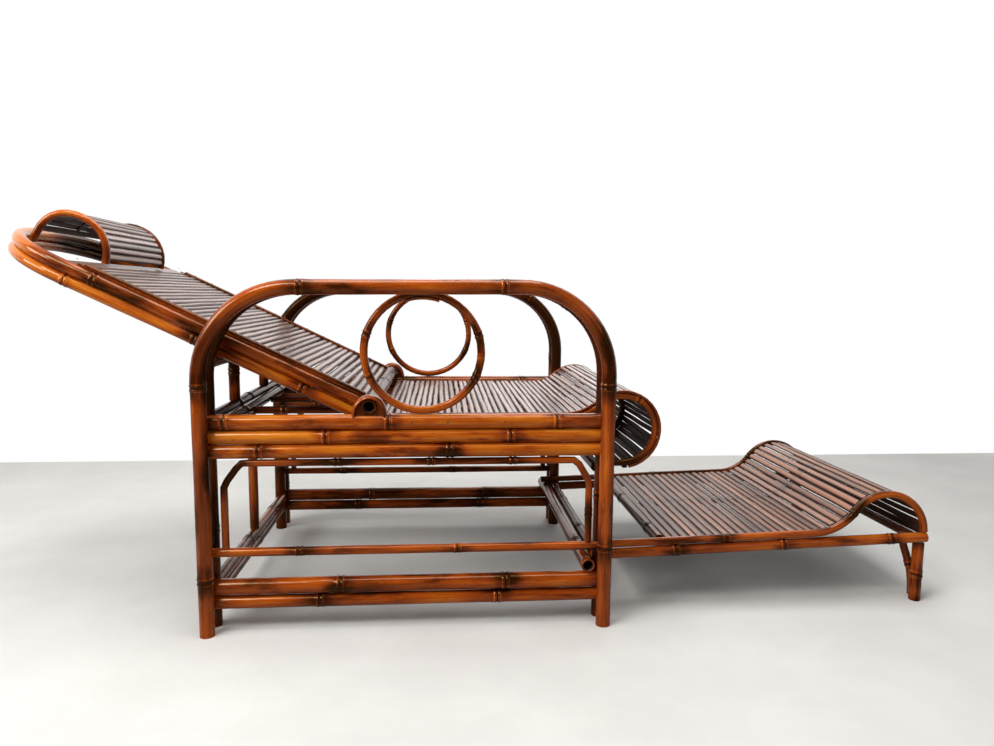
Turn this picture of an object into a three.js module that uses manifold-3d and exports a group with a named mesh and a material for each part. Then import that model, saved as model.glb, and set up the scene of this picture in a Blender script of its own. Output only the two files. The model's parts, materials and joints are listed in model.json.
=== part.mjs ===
// Bamboo folding recliner: a slatted seat with a rolled front between hoop arms, a slatted backrest that hinges
// on a hollow tube across the side rails, and a slatted footrest that slides out from under the seat.
// Millimetres, +Z up, +X towards the footrest, near side at low Y.
import * as THREE from "three";
import { mergeVertices } from "three/addons/utils/BufferGeometryUtils.js";
import Module from "manifold-3d";

const wasm = await Module();
wasm.setup();

const FIT = 0.3; // gap between two pieces that touch

// Side frames
const FRAME_LENGTH = 729; // rear leg axis to front leg axis
const ARM_HEIGHT = 635; // arm pole axis at the front
const REAR_ARM_DROP = 4; // how much lower the arm is at the back
const HOOP_R = 13.5;
const OUTER_Y = 319.4; // outer hoop plane
const HOOP_STEP = 43.3; // outer hoop plane to inner hoop plane
const HOOP_KNOT_SHARES = [0.056, 0.245, 0.386, 0.577, 0.757, 0.918];
const REAR_CORNER_R = 165;
const FRONT_CORNER_R = 160;
const TOP_RAIL = { z: 389, r: 13.5, knotShares: [0.451, 0.865] };
const UPPER_RAIL = { z: 362, r: 11.3, knotShares: [0.3, 0.75] };
const LOWER_RAIL = { z: 335.8, r: 11.6, knotShares: [0.14, 0.6] };
const BASE_UPPER = { z: 82.9, r: 13.5, knotShares: [0.33] };
const BASE_LOWER = { z: 53.8, r: 9.5, knotShares: [0.28, 0.72] };
const GUIDE = { z: 148.1, r: 7.6, knotShares: [0.23, 0.62] };
const SHOULDER_X = 14.3; // rail shoulder, measured from the leg axis
const TONGUE_REACH = 9; // how far a rail's tongue passes the leg axis
const TONGUE_FLAT_SHARE = 0.9; // height of a tongue as a share of its rail
const BRACKET = { r: 6.6, z: 314.5, rearBend: 66, frontBend: 58, endX: 14, endDrop: 53 };
const BRACKET_POST = { rearX: 35, setBack: 33 };
const RING = { fromStrap: 27.8, leanShare: 0.37, topDrop: 5.8, r: 7.2, knotShares: [0.05, 0.45] };
const STRAP = { halfX: 30, thick: 6.5, width: 25, play: 0.7, footZ: 392 };

// Rear frame
const REAR_X = 4; // rear cross rails, measured from the rear leg axis
const REAR_TOP = { r: 12, knotShares: [0.22, 0.65] };
const REAR_SEAT = { z: 392, r: 12, knotShares: [0.46] };
const REAR_BASE_UPPER = { z: 83, r: 11 };
const REAR_BASE_LOWER = { z: 55, r: 9 };
const REAR_POST = { y: 118, r: 10.5 };
const REAR_LOWER_POST_R = 10;
const FRONT_CROSS = { setBack: 9, z: 294, r: 10 };

// Seat
const SEAT_RIM = { y: 249.5, z: 386, r: 6.5, startGap: 1 };
const SEAT_ROLL = { overhang: 44.5, z: 362.5, bendR: 66, dipR: 105 };
const SEAT_SLAT = {
  pitch: 12,
  width: 9,
  thick: 3.8,
  lift: SEAT_RIM.r + 1.5 * FIT, // the slats lie on the rims
  ribHalf: 7,
  ribDrop: 6.2,
  endGap: 1,
};
const SEAT_RUNNER = { y: 144, pastBearer: 6 }; // poles beside the middle rib, as thick as the rims
const RIB_BITE_SHARE = 0.35; // how far a deck's rib reaches up into its slats
const BEARER_R = 10;
const BEARER_SET = { fromPivot: 59, setBack: 89 };
const REAR_BEARER = { x: 37, r: 11 };

// Backrest, in its own frame: x runs from the pivot towards the head as negative, z is up from the slats
const PIVOT = { x: 293, r: 14.5, bore: 10, boreDepth: 45, half: 307, knotShares: [0.52] };
const RECLINE = THREE.MathUtils.degToRad(25.5);
const BACK_HALF = 247;
const BACK_BEND = { start: 590, length: 170, power: 2.3 };
const BACK_UPPER = { z: -9.4, r: 11, start: 9, knotShares: [0.287, 0.83] };
const BACK_LOWER = { r: 9.8, start: 20, knotShares: [0.059, 0.175, 0.31, 0.72] };
const BACK_SLAT = { pitch: 14.4, width: 11.4, thick: 3.4, end: 250, ribHalf: 7, ribDrop: 6 };
const HEAD_BAR = { width: 18, pastBend: 2 };
const BATTEN = { halfY: 6, thick: 5, start: 17, y: 246 };
const HEAD_ARCH = { y: 135, r: 7, halfShare: 0.403, height: 73, tail: -8, endAngle: 0.24, footRise: 5 };
const HEAD_SLAT = {
  pitch: 12.9,
  width: 10,
  thick: 3,
  lift: 1,
  startGap: 12,
  endGap: 1,
  ribHalf: 6,
  ribDrop: 4,
};

// Footrest, in its own frame: the roller axis is the origin, x runs outwards along the rails
const ROLLER = { r: 13, bore: 10, boreDepth: 45, half: 304, knotShares: [0.2] };
const FOOT_TILT = THREE.MathUtils.degToRad(1.8);
const FOOT_Y = 248.5;
const FOOT_RIM = { r: 7.5, startX: -13, dipR: 108, crestSetBack: 86, crestR: 82, knotShares: [0.384, 0.74] };
const FOOT_RAIL = { r: 10.5, startX: 13.3, endX: 714, knotShares: [0.249, 0.567, 0.893] };
const FOOT_SLAT = { pitch: 17, width: 13, thick: 4, lift: 0.5, ribHalf: 8, ribDrop: 6.5, endGap: 24 };
const FOOT_INNER_POLE = { r: 10 };
const FOOT_DECK_POLE = { x: 157.5, r: 11 };
const FOOT_END_POLE = { setBack: 21, r: 9 };
const FOOT_LEG = { setBack: 13.8, r: 11 };
// From the leg axis in length and up to the rail in height, as a share of the rail's height
const BRACE = { r: 7.4, points: [[-25, 1], [-22, 0.861], [-10, 0.628], [0, 0.409], [4, 0.204], [5, 0.029]] };

// Curves, facets and knots
const ELLIPSE = 2; // power of a plain ellipse
const SIDES = 10;
const THICK_R = 11.5; // straight poles up to this radius have fewer facets
const THIN_SIDES = 8;
const CORNER_STEPS = 7;
const BATTEN_STEPS = 5;
const ARCH_STEPS = 12;
const RING_STEPS = 24;
const CURVE_STEPS = 16;
const KNOT_RISE = 1.3;
const KNOT_HALF = 4.5;
const WELD = 1e-4; // points closer than this are one point

const ringBend = (ARM_HEIGHT - RING.topDrop - TOP_RAIL.z - TOP_RAIL.r - FIT) / 2 - RING.r;
const ringX = PIVOT.x + STRAP.halfX + RING.fromStrap + RING.leanShare * ringBend;
const frontCrossX = FRAME_LENGTH - FRONT_CROSS.setBack;
const seatRollX = FRAME_LENGTH + SEAT_ROLL.overhang;
const seatStartX = PIVOT.x + PIVOT.r + SEAT_RIM.startGap;
const bearerXs = [PIVOT.x + BEARER_SET.fromPivot, FRAME_LENGTH - BEARER_SET.setBack];
const rollerX = FRAME_LENGTH - HOOP_R - FIT - ROLLER.r; // drawn out, the roller rests against the front legs
const crestX = FOOT_RAIL.endX - FOOT_RIM.crestSetBack;
const endPoleX = FOOT_RAIL.endX - FOOT_END_POLE.setBack;
const headBarEnd = BACK_BEND.start + HEAD_BAR.pastBend;
const headBarStart = headBarEnd - HEAD_BAR.width;
const archHalf = BACK_BEND.length * HEAD_ARCH.halfShare;
const archMid = headBarStart + HEAD_ARCH.r + archHalf;
const innerY = OUTER_Y - HOOP_STEP;
const midY = OUTER_Y - HOOP_STEP / 2;
const tongueHalf = HOOP_STEP / 2 - HOOP_R - FIT;
const pivotZ = TOP_RAIL.z + TOP_RAIL.r + FIT + PIVOT.r;
const rollerZ = BASE_UPPER.z + BASE_UPPER.r + FIT + ROLLER.r;
const bearerZ = SEAT_RIM.z - SEAT_RIM.r - FIT - BEARER_R;
const footRimZ = ROLLER.r + FIT + FOOT_RIM.r;
const footRailZ = footRimZ - FOOT_RIM.r - KNOT_RISE - FIT - FOOT_RAIL.r;
const backLowerZ = BACK_UPPER.z - BACK_UPPER.r - KNOT_RISE - FIT - BACK_LOWER.r;
const backUnder = backLowerZ - BACK_LOWER.r - FIT;
const restDrop = backUnder - REAR_TOP.r + (PIVOT.x - REAR_X) * Math.sin(RECLINE);
const rearTopZ = pivotZ + restDrop / Math.cos(RECLINE); // the reclined backrest lies on this rail
const slatZ = BACK_UPPER.z + BACK_UPPER.r + KNOT_RISE + FIT;
const alongY = new THREE.Vector3(0, 1, 0);
const alongX = new THREE.Vector3(1, 0, 0);
const alongZ = new THREE.Vector3(0, 0, 1);

const recliner = new THREE.Group();
recliner.name = "folding_recliner";

const POLE = { color: 0xb5611f, roughness: 0.35 };
const DARK_POLE = { color: 0x7a3a18, roughness: 0.4 };
const SLAT = { color: 0x8a6458, roughness: 0.45 };

function addPiece(name, geometry, finish) {
  const material = new THREE.MeshStandardMaterial(finish);
  const mesh = new THREE.Mesh(geometry, material);
  mesh.name = name;
  recliner.add(mesh);
  return mesh;
}

// Adds a piece at low Y and its mirror image at high Y.
function addPair(name, make, finish) {
  addPiece(`${name}_near`, make(-1), finish);
  addPiece(`${name}_far`, make(1), finish);
}

function toSolid(geometry) {
  const bare = geometry.index ? geometry.toNonIndexed() : geometry.clone();
  bare.deleteAttribute("normal");
  bare.deleteAttribute("uv");
  const merged = mergeVertices(bare, WELD);
  const mesh = new wasm.Mesh({
    numProp: 3,
    vertProperties: merged.attributes.position.array,
    triVerts: new Uint32Array(merged.index.array),
  });
  return new wasm.Manifold(mesh);
}

function toGeometry(solid) {
  const mesh = solid.getMesh();
  const geometry = new THREE.BufferGeometry();
  geometry.setAttribute("position", new THREE.BufferAttribute(new Float32Array(mesh.vertProperties), 3));
  geometry.setIndex(new THREE.BufferAttribute(new Uint32Array(mesh.triVerts), 1));
  return geometry;
}

function cut(geometry, cutters) {
  return toGeometry(cutters.reduce((left, cutter) => left.subtract(toSolid(cutter)), toSolid(geometry)));
}

function join(geometries) {
  return toGeometry(wasm.Manifold.union(geometries.map(toSolid)));
}

// Joins rings of points into one closed skin. Each ring lies across the path: `across` along the fixed normal,
// `within` in the plane of the path.
function loft(rings, sides, normal, closed = false) {
  const points = [];
  for (const ring of rings) {
    const side = new THREE.Vector3().crossVectors(normal, ring.along).normalize();
    for (let k = 0; k < sides; k += 1) {
      const angle = (2 * Math.PI * k) / sides;
      const point = ring.at.clone();
      point.addScaledVector(normal, Math.cos(angle) * ring.across);
      point.addScaledVector(side, Math.sin(angle) * ring.within);
      points.push(point);
    }
  }
  const faces = [];
  const spans = closed ? rings.length : rings.length - 1;
  for (let i = 0; i < spans; i += 1) {
    const next = (i + 1) % rings.length;
    for (let k = 0; k < sides; k += 1) {
      const turn = (k + 1) % sides;
      const a = i * sides + k;
      const b = i * sides + turn;
      const c = next * sides + turn;
      const d = next * sides + k;
      faces.push(a, b, c, a, c, d);
    }
  }
  if (!closed) {
    const last = (rings.length - 1) * sides;
    for (let k = 1; k < sides - 1; k += 1) {
      faces.push(0, k + 1, k);
      faces.push(last, last + k, last + k + 1);
    }
  }
  const geometry = new THREE.BufferGeometry().setFromPoints(points);
  geometry.setIndex(volumeOf(points, faces) < 0 ? faces.reverse() : faces);
  return geometry;
}

function volumeOf(points, faces) {
  let sum = 0;
  for (let i = 0; i < faces.length; i += 3) {
    const [a, b, c] = [points[faces[i]], points[faces[i + 1]], points[faces[i + 2]]];
    sum += a.dot(new THREE.Vector3().crossVectors(b, c));
  }
  return sum;
}

// Turns a planar path into rings with raised knots at the given shares of its length.
function pathRings(path, r, knotShares, closed) {
  const line = closed ? [...path, path[0]] : path;
  const lengths = [0];
  for (let i = 1; i < line.length; i += 1) {
    lengths.push(lengths[i - 1] + line[i].distanceTo(line[i - 1]));
  }
  const total = lengths[lengths.length - 1];
  const knots = knotShares.map((share) => share * total);
  const heading = (i) => new THREE.Vector3().subVectors(line[i + 1], line[i]).normalize();
  const rings = [];
  const vertexCount = closed ? line.length - 1 : line.length;
  for (let i = 0; i < vertexCount; i += 1) {
    if (knots.some((s) => Math.abs(s - lengths[i]) < 2 * KNOT_HALF)) continue;
    const before = i > 0 ? heading(i - 1) : closed ? heading(line.length - 2) : heading(0);
    const after = i < line.length - 1 ? heading(i) : before;
    const along = new THREE.Vector3().addVectors(before, after).normalize();
    rings.push({ s: lengths[i], at: line[i].clone(), along, across: r, within: r / along.dot(after) });
  }
  for (const s of knots) {
    const i = Math.max(lengths.findIndex((length) => length > s) - 1, 0);
    const along = heading(i);
    for (const step of [-1, 0, 1]) {
      const at = line[i].clone().addScaledVector(along, s + step * KNOT_HALF - lengths[i]);
      const swell = step === 0 ? r + KNOT_RISE : r;
      rings.push({ s: s + step * KNOT_HALF, at, along, across: swell, within: swell });
    }
  }
  return rings.sort((a, b) => a.s - b.s);
}

function rod(path, r, { knotShares = [], sides = SIDES, normal = alongY, closed = false } = {}) {
  return loft(pathRings(path, r, knotShares, closed), sides, normal, closed);
}

// A side rail: full round from shoulder to shoulder, with a flat tongue at each end between the two hoop poles.
function tonguedRail(rail, side) {
  const y = side * midY;
  const start = new THREE.Vector3(SHOULDER_X, y, rail.z);
  const end = new THREE.Vector3(FRAME_LENGTH - SHOULDER_X, y, rail.z);
  const rings = pathRings([start, end], rail.r, rail.knotShares, false);
  const tongue = { across: tongueHalf, within: rail.r * TONGUE_FLAT_SHARE, along: alongX };
  const reach = SHOULDER_X + TONGUE_REACH;
  const lead = [-reach, 0].map((x) => ({ ...tongue, at: start.clone().addScaledVector(alongX, x) }));
  const tail = [0, reach].map((x) => ({ ...tongue, at: end.clone().addScaledVector(alongX, x) }));
  return loft([...lead, ...rings, ...tail], rail.r > THICK_R ? SIDES : THIN_SIDES, alongY);
}

// A straight tube across the object with a blind bore at each end, closed inside by the cane's own walls.
function boredTube({ r, bore, boreDepth, half, knotShares }) {
  const at = (y) => new THREE.Vector3(0, y, 0);
  const rings = pathRings([at(-half), at(half)], r, knotShares, false);
  const ring = (y) => ({ at: at(y), along: alongY, across: bore, within: bore });
  const inside = [ring(half), ring(half - boreDepth)];
  return loft([ring(boreDepth - half), ring(-half), ...rings, ...inside], SIDES, alongX);
}

function crossPole(x, z, r, half, knotShares = []) {
  const ends = [new THREE.Vector3(x, -half, z), new THREE.Vector3(x, half, z)];
  return rod(ends, r, { knotShares, normal: alongX, sides: r > THICK_R ? SIDES : THIN_SIDES });
}

// Points on an arc in the XZ plane; angles in radians from +X towards +Z.
function arc(x, z, radius, from, to, steps) {
  return bow(x, z, radius, radius, from, to, steps);
}

// The same on an oval; a power above that of an ellipse gives a fuller one.
function bow(x, z, halfX, halfZ, from, to, steps, power = ELLIPSE) {
  const full = (value) => Math.sign(value) * Math.abs(value) ** (ELLIPSE / power);
  const points = [];
  for (let i = 0; i <= steps; i += 1) {
    const angle = from + ((to - from) * i) / steps;
    points.push(new THREE.Vector2(x + halfX * full(Math.cos(angle)), z + halfZ * full(Math.sin(angle))));
  }
  return points;
}

function inPlane(points, y) {
  return points.map((p) => new THREE.Vector3(p.x, y, p.y));
}

function hoopLine() {
  const rearZ = ARM_HEIGHT - REAR_ARM_DROP - REAR_CORNER_R;
  const rear = arc(REAR_CORNER_R, rearZ, REAR_CORNER_R, Math.PI, Math.PI / 2, CORNER_STEPS);
  const frontX = FRAME_LENGTH - FRONT_CORNER_R;
  const front = arc(frontX, ARM_HEIGHT - FRONT_CORNER_R, FRONT_CORNER_R, Math.PI / 2, 0, CORNER_STEPS);
  return [new THREE.Vector2(0, 0), ...rear, ...front, new THREE.Vector2(FRAME_LENGTH, 0)];
}

function hoop(y, r, knotShares = []) {
  return rod(inPlane(hoopLine(), y), r, { knotShares });
}

addPair("hoop_outer", (s) => hoop(s * OUTER_Y, HOOP_R, HOOP_KNOT_SHARES), POLE);
addPair("hoop_inner", (s) => hoop(s * innerY, HOOP_R), POLE);
addPair("top_rail", (s) => tonguedRail(TOP_RAIL, s), POLE);
addPair("side_rail_upper", (s) => tonguedRail(UPPER_RAIL, s), POLE);
addPair("side_rail_lower", (s) => tonguedRail(LOWER_RAIL, s), POLE);
addPair("base_rail_upper", (s) => tonguedRail(BASE_UPPER, s), POLE);
addPair("base_rail_lower", (s) => tonguedRail(BASE_LOWER, s), POLE);

function guideRail(side) {
  const ends = [-TONGUE_REACH, FRAME_LENGTH + TONGUE_REACH].map((x) => new THREE.Vector2(x, GUIDE.z));
  return rod(inPlane(ends, side * midY), GUIDE.r, { knotShares: GUIDE.knotShares, sides: THIN_SIDES });
}
addPair("guide_rail", guideRail, POLE);

// A thin rod bent down to the legs at both ends, with a short post from each bend to the guide rail.
function bracketFrame(side) {
  const y = side * midY;
  const endZ = BRACKET.z - BRACKET.endDrop;
  const frontBendX = FRAME_LENGTH - BRACKET.frontBend;
  const line = [
    new THREE.Vector2(BRACKET.endX, endZ),
    new THREE.Vector2(BRACKET.rearBend, BRACKET.z),
    new THREE.Vector2(frontBendX, BRACKET.z),
    new THREE.Vector2(FRAME_LENGTH - BRACKET.endX, endZ),
  ];
  const bent = rod(inPlane(line, y), BRACKET.r, { sides: THIN_SIDES });
  const slope = BRACKET.endDrop / (BRACKET.rearBend - BRACKET.endX);
  const frontSlope = BRACKET.endDrop / (BRACKET.frontBend - BRACKET.endX);
  const postTop = (x) => BRACKET.z - Math.max((BRACKET.rearBend - x) * slope, (x - frontBendX) * frontSlope);
  const posts = [BRACKET_POST.rearX, FRAME_LENGTH - BRACKET_POST.setBack].map((x) => {
    const ends = [new THREE.Vector2(x, GUIDE.z + GUIDE.r + FIT), new THREE.Vector2(x, postTop(x))];
    return rod(inPlane(ends, y), BRACKET.r, { sides: THIN_SIDES });
  });
  return join([bent, ...posts]);
}
addPair("bracket_frame", bracketFrame, POLE);

function armRing(side) {
  const z = TOP_RAIL.z + TOP_RAIL.r + FIT + RING.r + ringBend;
  const circle = arc(ringX, z, ringBend, 0, 2 * Math.PI, RING_STEPS).slice(0, -1);
  const options = { knotShares: RING.knotShares, sides: THIN_SIDES, closed: true };
  return rod(inPlane(circle, side * midY), RING.r, options);
}
addPair("arm_ring", armRing, POLE);

// A plate shape in the XZ plane, given thickness along Y about the plane y.
function plate(outline, y, width) {
  const shape = new THREE.Shape(outline);
  const geometry = new THREE.ExtrudeGeometry(shape, { depth: width, bevelEnabled: false });
  geometry.rotateX(Math.PI / 2);
  geometry.translate(0, y + width / 2, 0);
  return geometry;
}

function pivotStrap(side) {
  const crownZ = TOP_RAIL.z + TOP_RAIL.r;
  const innerTop = pivotZ + PIVOT.r + STRAP.play - crownZ;
  const innerHalf = STRAP.halfX - STRAP.thick;
  const over = (halfX, height) => bow(PIVOT.x, crownZ, halfX, height, Math.PI, 0, CURVE_STEPS / 2);
  const outer = over(STRAP.halfX, innerTop + STRAP.thick);
  const inner = over(innerHalf, innerTop).reverse();
  const feet = (halfX, turn) => new THREE.Vector2(PIVOT.x + turn * halfX, STRAP.footZ);
  const outline = [feet(STRAP.halfX, -1), ...outer, feet(STRAP.halfX, 1), feet(innerHalf, 1), ...inner];
  outline.push(feet(innerHalf, -1));
  const rail = tonguedRail({ ...TOP_RAIL, r: TOP_RAIL.r + FIT }, side);
  return cut(plate(outline, side * midY, STRAP.width), [rail]);
}
addPair("pivot_strap", pivotStrap, DARK_POLE);

// A cross pole between the two inner hoops, its ends hollowed to fit the legs.
function legCrossPole(x, { z, r, knotShares = [] }) {
  const hoops = [-innerY, innerY].map((y) => hoop(y, HOOP_R + FIT));
  return cut(crossPole(x, z, r, innerY - HOOP_R / 2, knotShares), hoops);
}
addPiece("rear_top_rail", legCrossPole(REAR_X, { ...REAR_TOP, z: rearTopZ }), POLE);
addPiece("rear_seat_rail", legCrossPole(REAR_X, REAR_SEAT), DARK_POLE);
addPiece("rear_base_rail_upper", legCrossPole(REAR_X, REAR_BASE_UPPER), POLE);
addPiece("rear_base_rail_lower", legCrossPole(REAR_X, REAR_BASE_LOWER), POLE);
addPiece("front_cross_rail", legCrossPole(frontCrossX, FRONT_CROSS), DARK_POLE);

function post(x, y, low, high, r) {
  const ends = [low + FIT, high - FIT].map((z) => new THREE.Vector2(x, z));
  return rod(inPlane(ends, y), r, { sides: THIN_SIDES });
}
const seatRailTop = REAR_SEAT.z + REAR_SEAT.r;
const topRailUnder = rearTopZ - REAR_TOP.r;
addPair("rear_post", (s) => post(REAR_X, s * REAR_POST.y, seatRailTop, topRailUnder, REAR_POST.r), POLE);
const baseRailTop = REAR_BASE_UPPER.z + REAR_BASE_UPPER.r;
addPiece("rear_lower_post", post(REAR_X, 0, baseRailTop, REAR_SEAT.z - REAR_SEAT.r, REAR_LOWER_POST_R), POLE);

// The seat bearers end against the upper side rails.
bearerXs.forEach((x, i) => {
  const pole = crossPole(x, bearerZ, BEARER_R, midY - UPPER_RAIL.r - FIT);
  addPiece(`seat_bearer_${i + 1}`, pole, DARK_POLE);
});
const rearBearer = crossPole(REAR_BEARER.x, TOP_RAIL.z, REAR_BEARER.r, midY - TOP_RAIL.r - FIT);
addPiece("rear_bearer", rearBearer, DARK_POLE);

// Poles along the seat, from the rear bearer forward under the pivot tube.
const runnerStart = new THREE.Vector2(REAR_BEARER.x + REAR_BEARER.r + FIT, SEAT_RIM.z);
const runnerEnd = new THREE.Vector2(bearerXs[1] + BEARER_R + SEAT_RUNNER.pastBearer, SEAT_RIM.z);
function seatRunner(side) {
  const line = inPlane([runnerStart, runnerEnd], side * SEAT_RUNNER.y);
  return rod(line, SEAT_RIM.r, { sides: THIN_SIDES });
}
addPair("seat_runner", seatRunner, DARK_POLE);

// Flat, then up through a dip and over a round roll: the dip's centre and the angle where dip and roll meet.
function dipBefore(flatZ, dipR, rollX, rollZ, rollR) {
  const height = flatZ + dipR - rollZ;
  const run = Math.sqrt((dipR + rollR) ** 2 - height ** 2);
  return { x: rollX - run, z: flatZ + dipR, angle: Math.atan2(run, height) };
}

function seatLine() {
  const roll = SEAT_ROLL;
  const dip = dipBefore(SEAT_RIM.z, roll.dipR, seatRollX, roll.z, roll.bendR);
  const rise = arc(dip.x, dip.z, roll.dipR, -Math.PI / 2, dip.angle - Math.PI / 2, CORNER_STEPS);
  const curl = arc(seatRollX, roll.z, roll.bendR, Math.PI / 2 + dip.angle, -Math.PI / 2, CURVE_STEPS);
  return [new THREE.Vector2(seatStartX, SEAT_RIM.z), ...rise, ...curl.slice(1)];
}

const seatEndX = frontCrossX + FRONT_CROSS.r + FIT;
const seatTail = new THREE.Vector2(seatEndX, SEAT_ROLL.z - SEAT_ROLL.bendR);
function seatRim(side) {
  return rod(inPlane([...seatLine(), seatTail], side * SEAT_RIM.y), SEAT_RIM.r, { sides: THIN_SIDES });
}
addPair("seat_rim", seatRim, POLE);

// A slatted deck: flat slats laid across a line in the XZ plane and nailed to one rib under them, which may start
// before the slats do.
function slatDeck(line, half, slat, places, ribStart = []) {
  const lengths = [0];
  for (let i = 1; i < line.length; i += 1) {
    lengths.push(lengths[i - 1] + line[i].distanceTo(line[i - 1]));
  }
  const rib = [...ribStart, ...line];
  const offset = (i, drop) => {
    const before = rib[Math.max(i - 1, 0)];
    const after = rib[Math.min(i + 1, rib.length - 1)];
    const along = new THREE.Vector2().subVectors(after, before).normalize();
    return new THREE.Vector2(rib[i].x - along.y * drop, rib[i].y + along.x * drop);
  };
  const upper = rib.map((_, i) => offset(i, slat.lift + slat.thick * RIB_BITE_SHARE));
  const lower = rib.map((_, i) => offset(i, -slat.ribDrop)).reverse();
  const solids = [toSolid(plate([...upper, ...lower], 0, 2 * slat.ribHalf))];
  for (const place of places) {
    const i = Math.min(Math.max(lengths.findIndex((s) => s >= place.s), 1), line.length - 1);
    const along = new THREE.Vector2().subVectors(line[i], line[i - 1]).normalize();
    const at = line[i - 1].clone().addScaledVector(along, place.s - lengths[i - 1]);
    const board = new THREE.BoxGeometry(place.width, 2 * half, slat.thick);
    board.translate(0, 0, slat.lift + slat.thick / 2);
    board.rotateY(-Math.atan2(along.y, along.x));
    board.translate(at.x, 0, at.y);
    solids.push(toSolid(board));
  }
  return toGeometry(wasm.Manifold.union(solids));
}

// Even places for slats between two lengths along a line.
function evenPlaces(from, to, pitch, width) {
  const count = Math.floor((to - from - width) / pitch) + 1;
  const step = (to - from - width) / (count - 1);
  return Array.from({ length: count }, (_, i) => ({ s: from + width / 2 + i * step, width }));
}

function lineLength(line) {
  return line.slice(1).reduce((sum, p, i) => sum + p.distanceTo(line[i]), 0);
}

const seatDeckLine = seatLine();
const seatDeckLength = lineLength(seatDeckLine) - SEAT_SLAT.endGap;
const seatPlaces = evenPlaces(SEAT_SLAT.endGap, seatDeckLength, SEAT_SLAT.pitch, SEAT_SLAT.width);
const seatHalf = SEAT_RIM.y + SEAT_RIM.r;
addPiece("seat_slats", slatDeck(seatDeckLine, seatHalf, SEAT_SLAT, seatPlaces, [runnerStart]), SLAT);

// Backrest
function placeBack(geometry) {
  geometry.rotateY(RECLINE);
  geometry.translate(PIVOT.x, 0, pivotZ);
  return geometry;
}

function headHoopPath(start, z) {
  const { start: from, length, power } = BACK_BEND;
  const bend = bow(-from, 0, -length, BACK_HALF, -Math.PI / 2, Math.PI / 2, CURVE_STEPS, power);
  const line = [new THREE.Vector2(-start, -BACK_HALF), ...bend, new THREE.Vector2(-start, BACK_HALF)];
  return line.map((p) => new THREE.Vector3(p.x, p.y, z));
}

function backHoop({ r, start, knotShares }, z) {
  return rod(headHoopPath(start, z), r, { knotShares, normal: alongZ });
}

addPiece("back_tube", placeBack(boredTube(PIVOT)), POLE);
const tubeCutter = crossPole(0, 0, PIVOT.r + FIT, PIVOT.half);
addPiece("back_hoop_upper", placeBack(cut(backHoop(BACK_UPPER, BACK_UPPER.z), [tubeCutter])), POLE);
addPiece("back_hoop_lower", placeBack(backHoop(BACK_LOWER, backLowerZ)), POLE);

const backDeckStart = PIVOT.r + 2 * FIT;
const backLine = [new THREE.Vector2(-headBarEnd, slatZ), new THREE.Vector2(-backDeckStart, slatZ)];
const backSlatsFrom = HEAD_BAR.width + BACK_SLAT.pitch - BACK_SLAT.width;
const backPlaces = evenPlaces(backSlatsFrom, lineLength(backLine), BACK_SLAT.pitch, BACK_SLAT.width);
backPlaces.push({ s: HEAD_BAR.width / 2, width: HEAD_BAR.width });
const backSlats = slatDeck(backLine, BACK_SLAT.end, { ...BACK_SLAT, lift: 0 }, backPlaces);
addPiece("back_slats", placeBack(backSlats), SLAT);

// A split cane laid flat side down over the slat ends.
function batten(side) {
  const low = slatZ + BACK_SLAT.thick + FIT;
  const { y, thick, halfY } = BATTEN;
  const profile = bow(low, side * y, thick, halfY, -Math.PI / 2, Math.PI / 2, BATTEN_STEPS);
  const length = headBarEnd - BATTEN.start;
  const options = { depth: length, bevelEnabled: false };
  const geometry = new THREE.ExtrudeGeometry(new THREE.Shape(profile), options);
  geometry.rotateY(-Math.PI / 2);
  geometry.translate(-BATTEN.start, 0, 0);
  return placeBack(geometry);
}
addPair("back_batten", batten, POLE);

// The headrest arch, from the inside of the head bend over to the head bar.
const headEnd = new THREE.Vector2(-archMid + archHalf, slatZ + BACK_SLAT.thick + FIT);
const headTail = new THREE.Vector2(-archMid - archHalf, HEAD_ARCH.tail);
const headArc = bow(-archMid, 0, archHalf, HEAD_ARCH.height, Math.PI, HEAD_ARCH.endAngle, ARCH_STEPS);

function archRod(side) {
  const foot = headEnd.clone().setY(headEnd.y + HEAD_ARCH.footRise);
  const line = inPlane([headTail, ...headArc, foot, headEnd], side * HEAD_ARCH.y);
  return placeBack(rod(line, HEAD_ARCH.r, { sides: THIN_SIDES }));
}
addPair("headrest_rod", archRod, POLE);

const headLength = lineLength(headArc) - HEAD_SLAT.endGap;
const headPlaces = evenPlaces(HEAD_SLAT.startGap, headLength, HEAD_SLAT.pitch, HEAD_SLAT.width);
const headSlats = slatDeck(headArc, HEAD_ARCH.y - HEAD_ARCH.r - FIT, HEAD_SLAT, headPlaces);
addPiece("headrest_slats", placeBack(headSlats), SLAT);

// Footrest
function placeFoot(geometry) {
  geometry.rotateY(-FOOT_TILT);
  geometry.translate(rollerX, 0, rollerZ);
  return geometry;
}

addPiece("foot_roller", placeFoot(boredTube(ROLLER)), POLE);

function footCurve() {
  const crestZ = footRimZ - FOOT_RIM.r;
  const dip = dipBefore(footRimZ, FOOT_RIM.dipR, crestX, crestZ, FOOT_RIM.crestR);
  const rise = arc(dip.x, dip.z, FOOT_RIM.dipR, -Math.PI / 2, dip.angle - Math.PI / 2, CORNER_STEPS);
  const hump = arc(crestX, crestZ, FOOT_RIM.crestR, Math.PI / 2 + dip.angle, 0, CURVE_STEPS);
  return [...rise, ...hump.slice(1)];
}

function footRim(side) {
  const line = [new THREE.Vector2(FOOT_RIM.startX, footRimZ), ...footCurve()];
  const options = { knotShares: FOOT_RIM.knotShares, sides: THIN_SIDES };
  return placeFoot(rod(inPlane(line, side * FOOT_Y), FOOT_RIM.r, options));
}
addPair("foot_rim", footRim, POLE);

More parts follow.
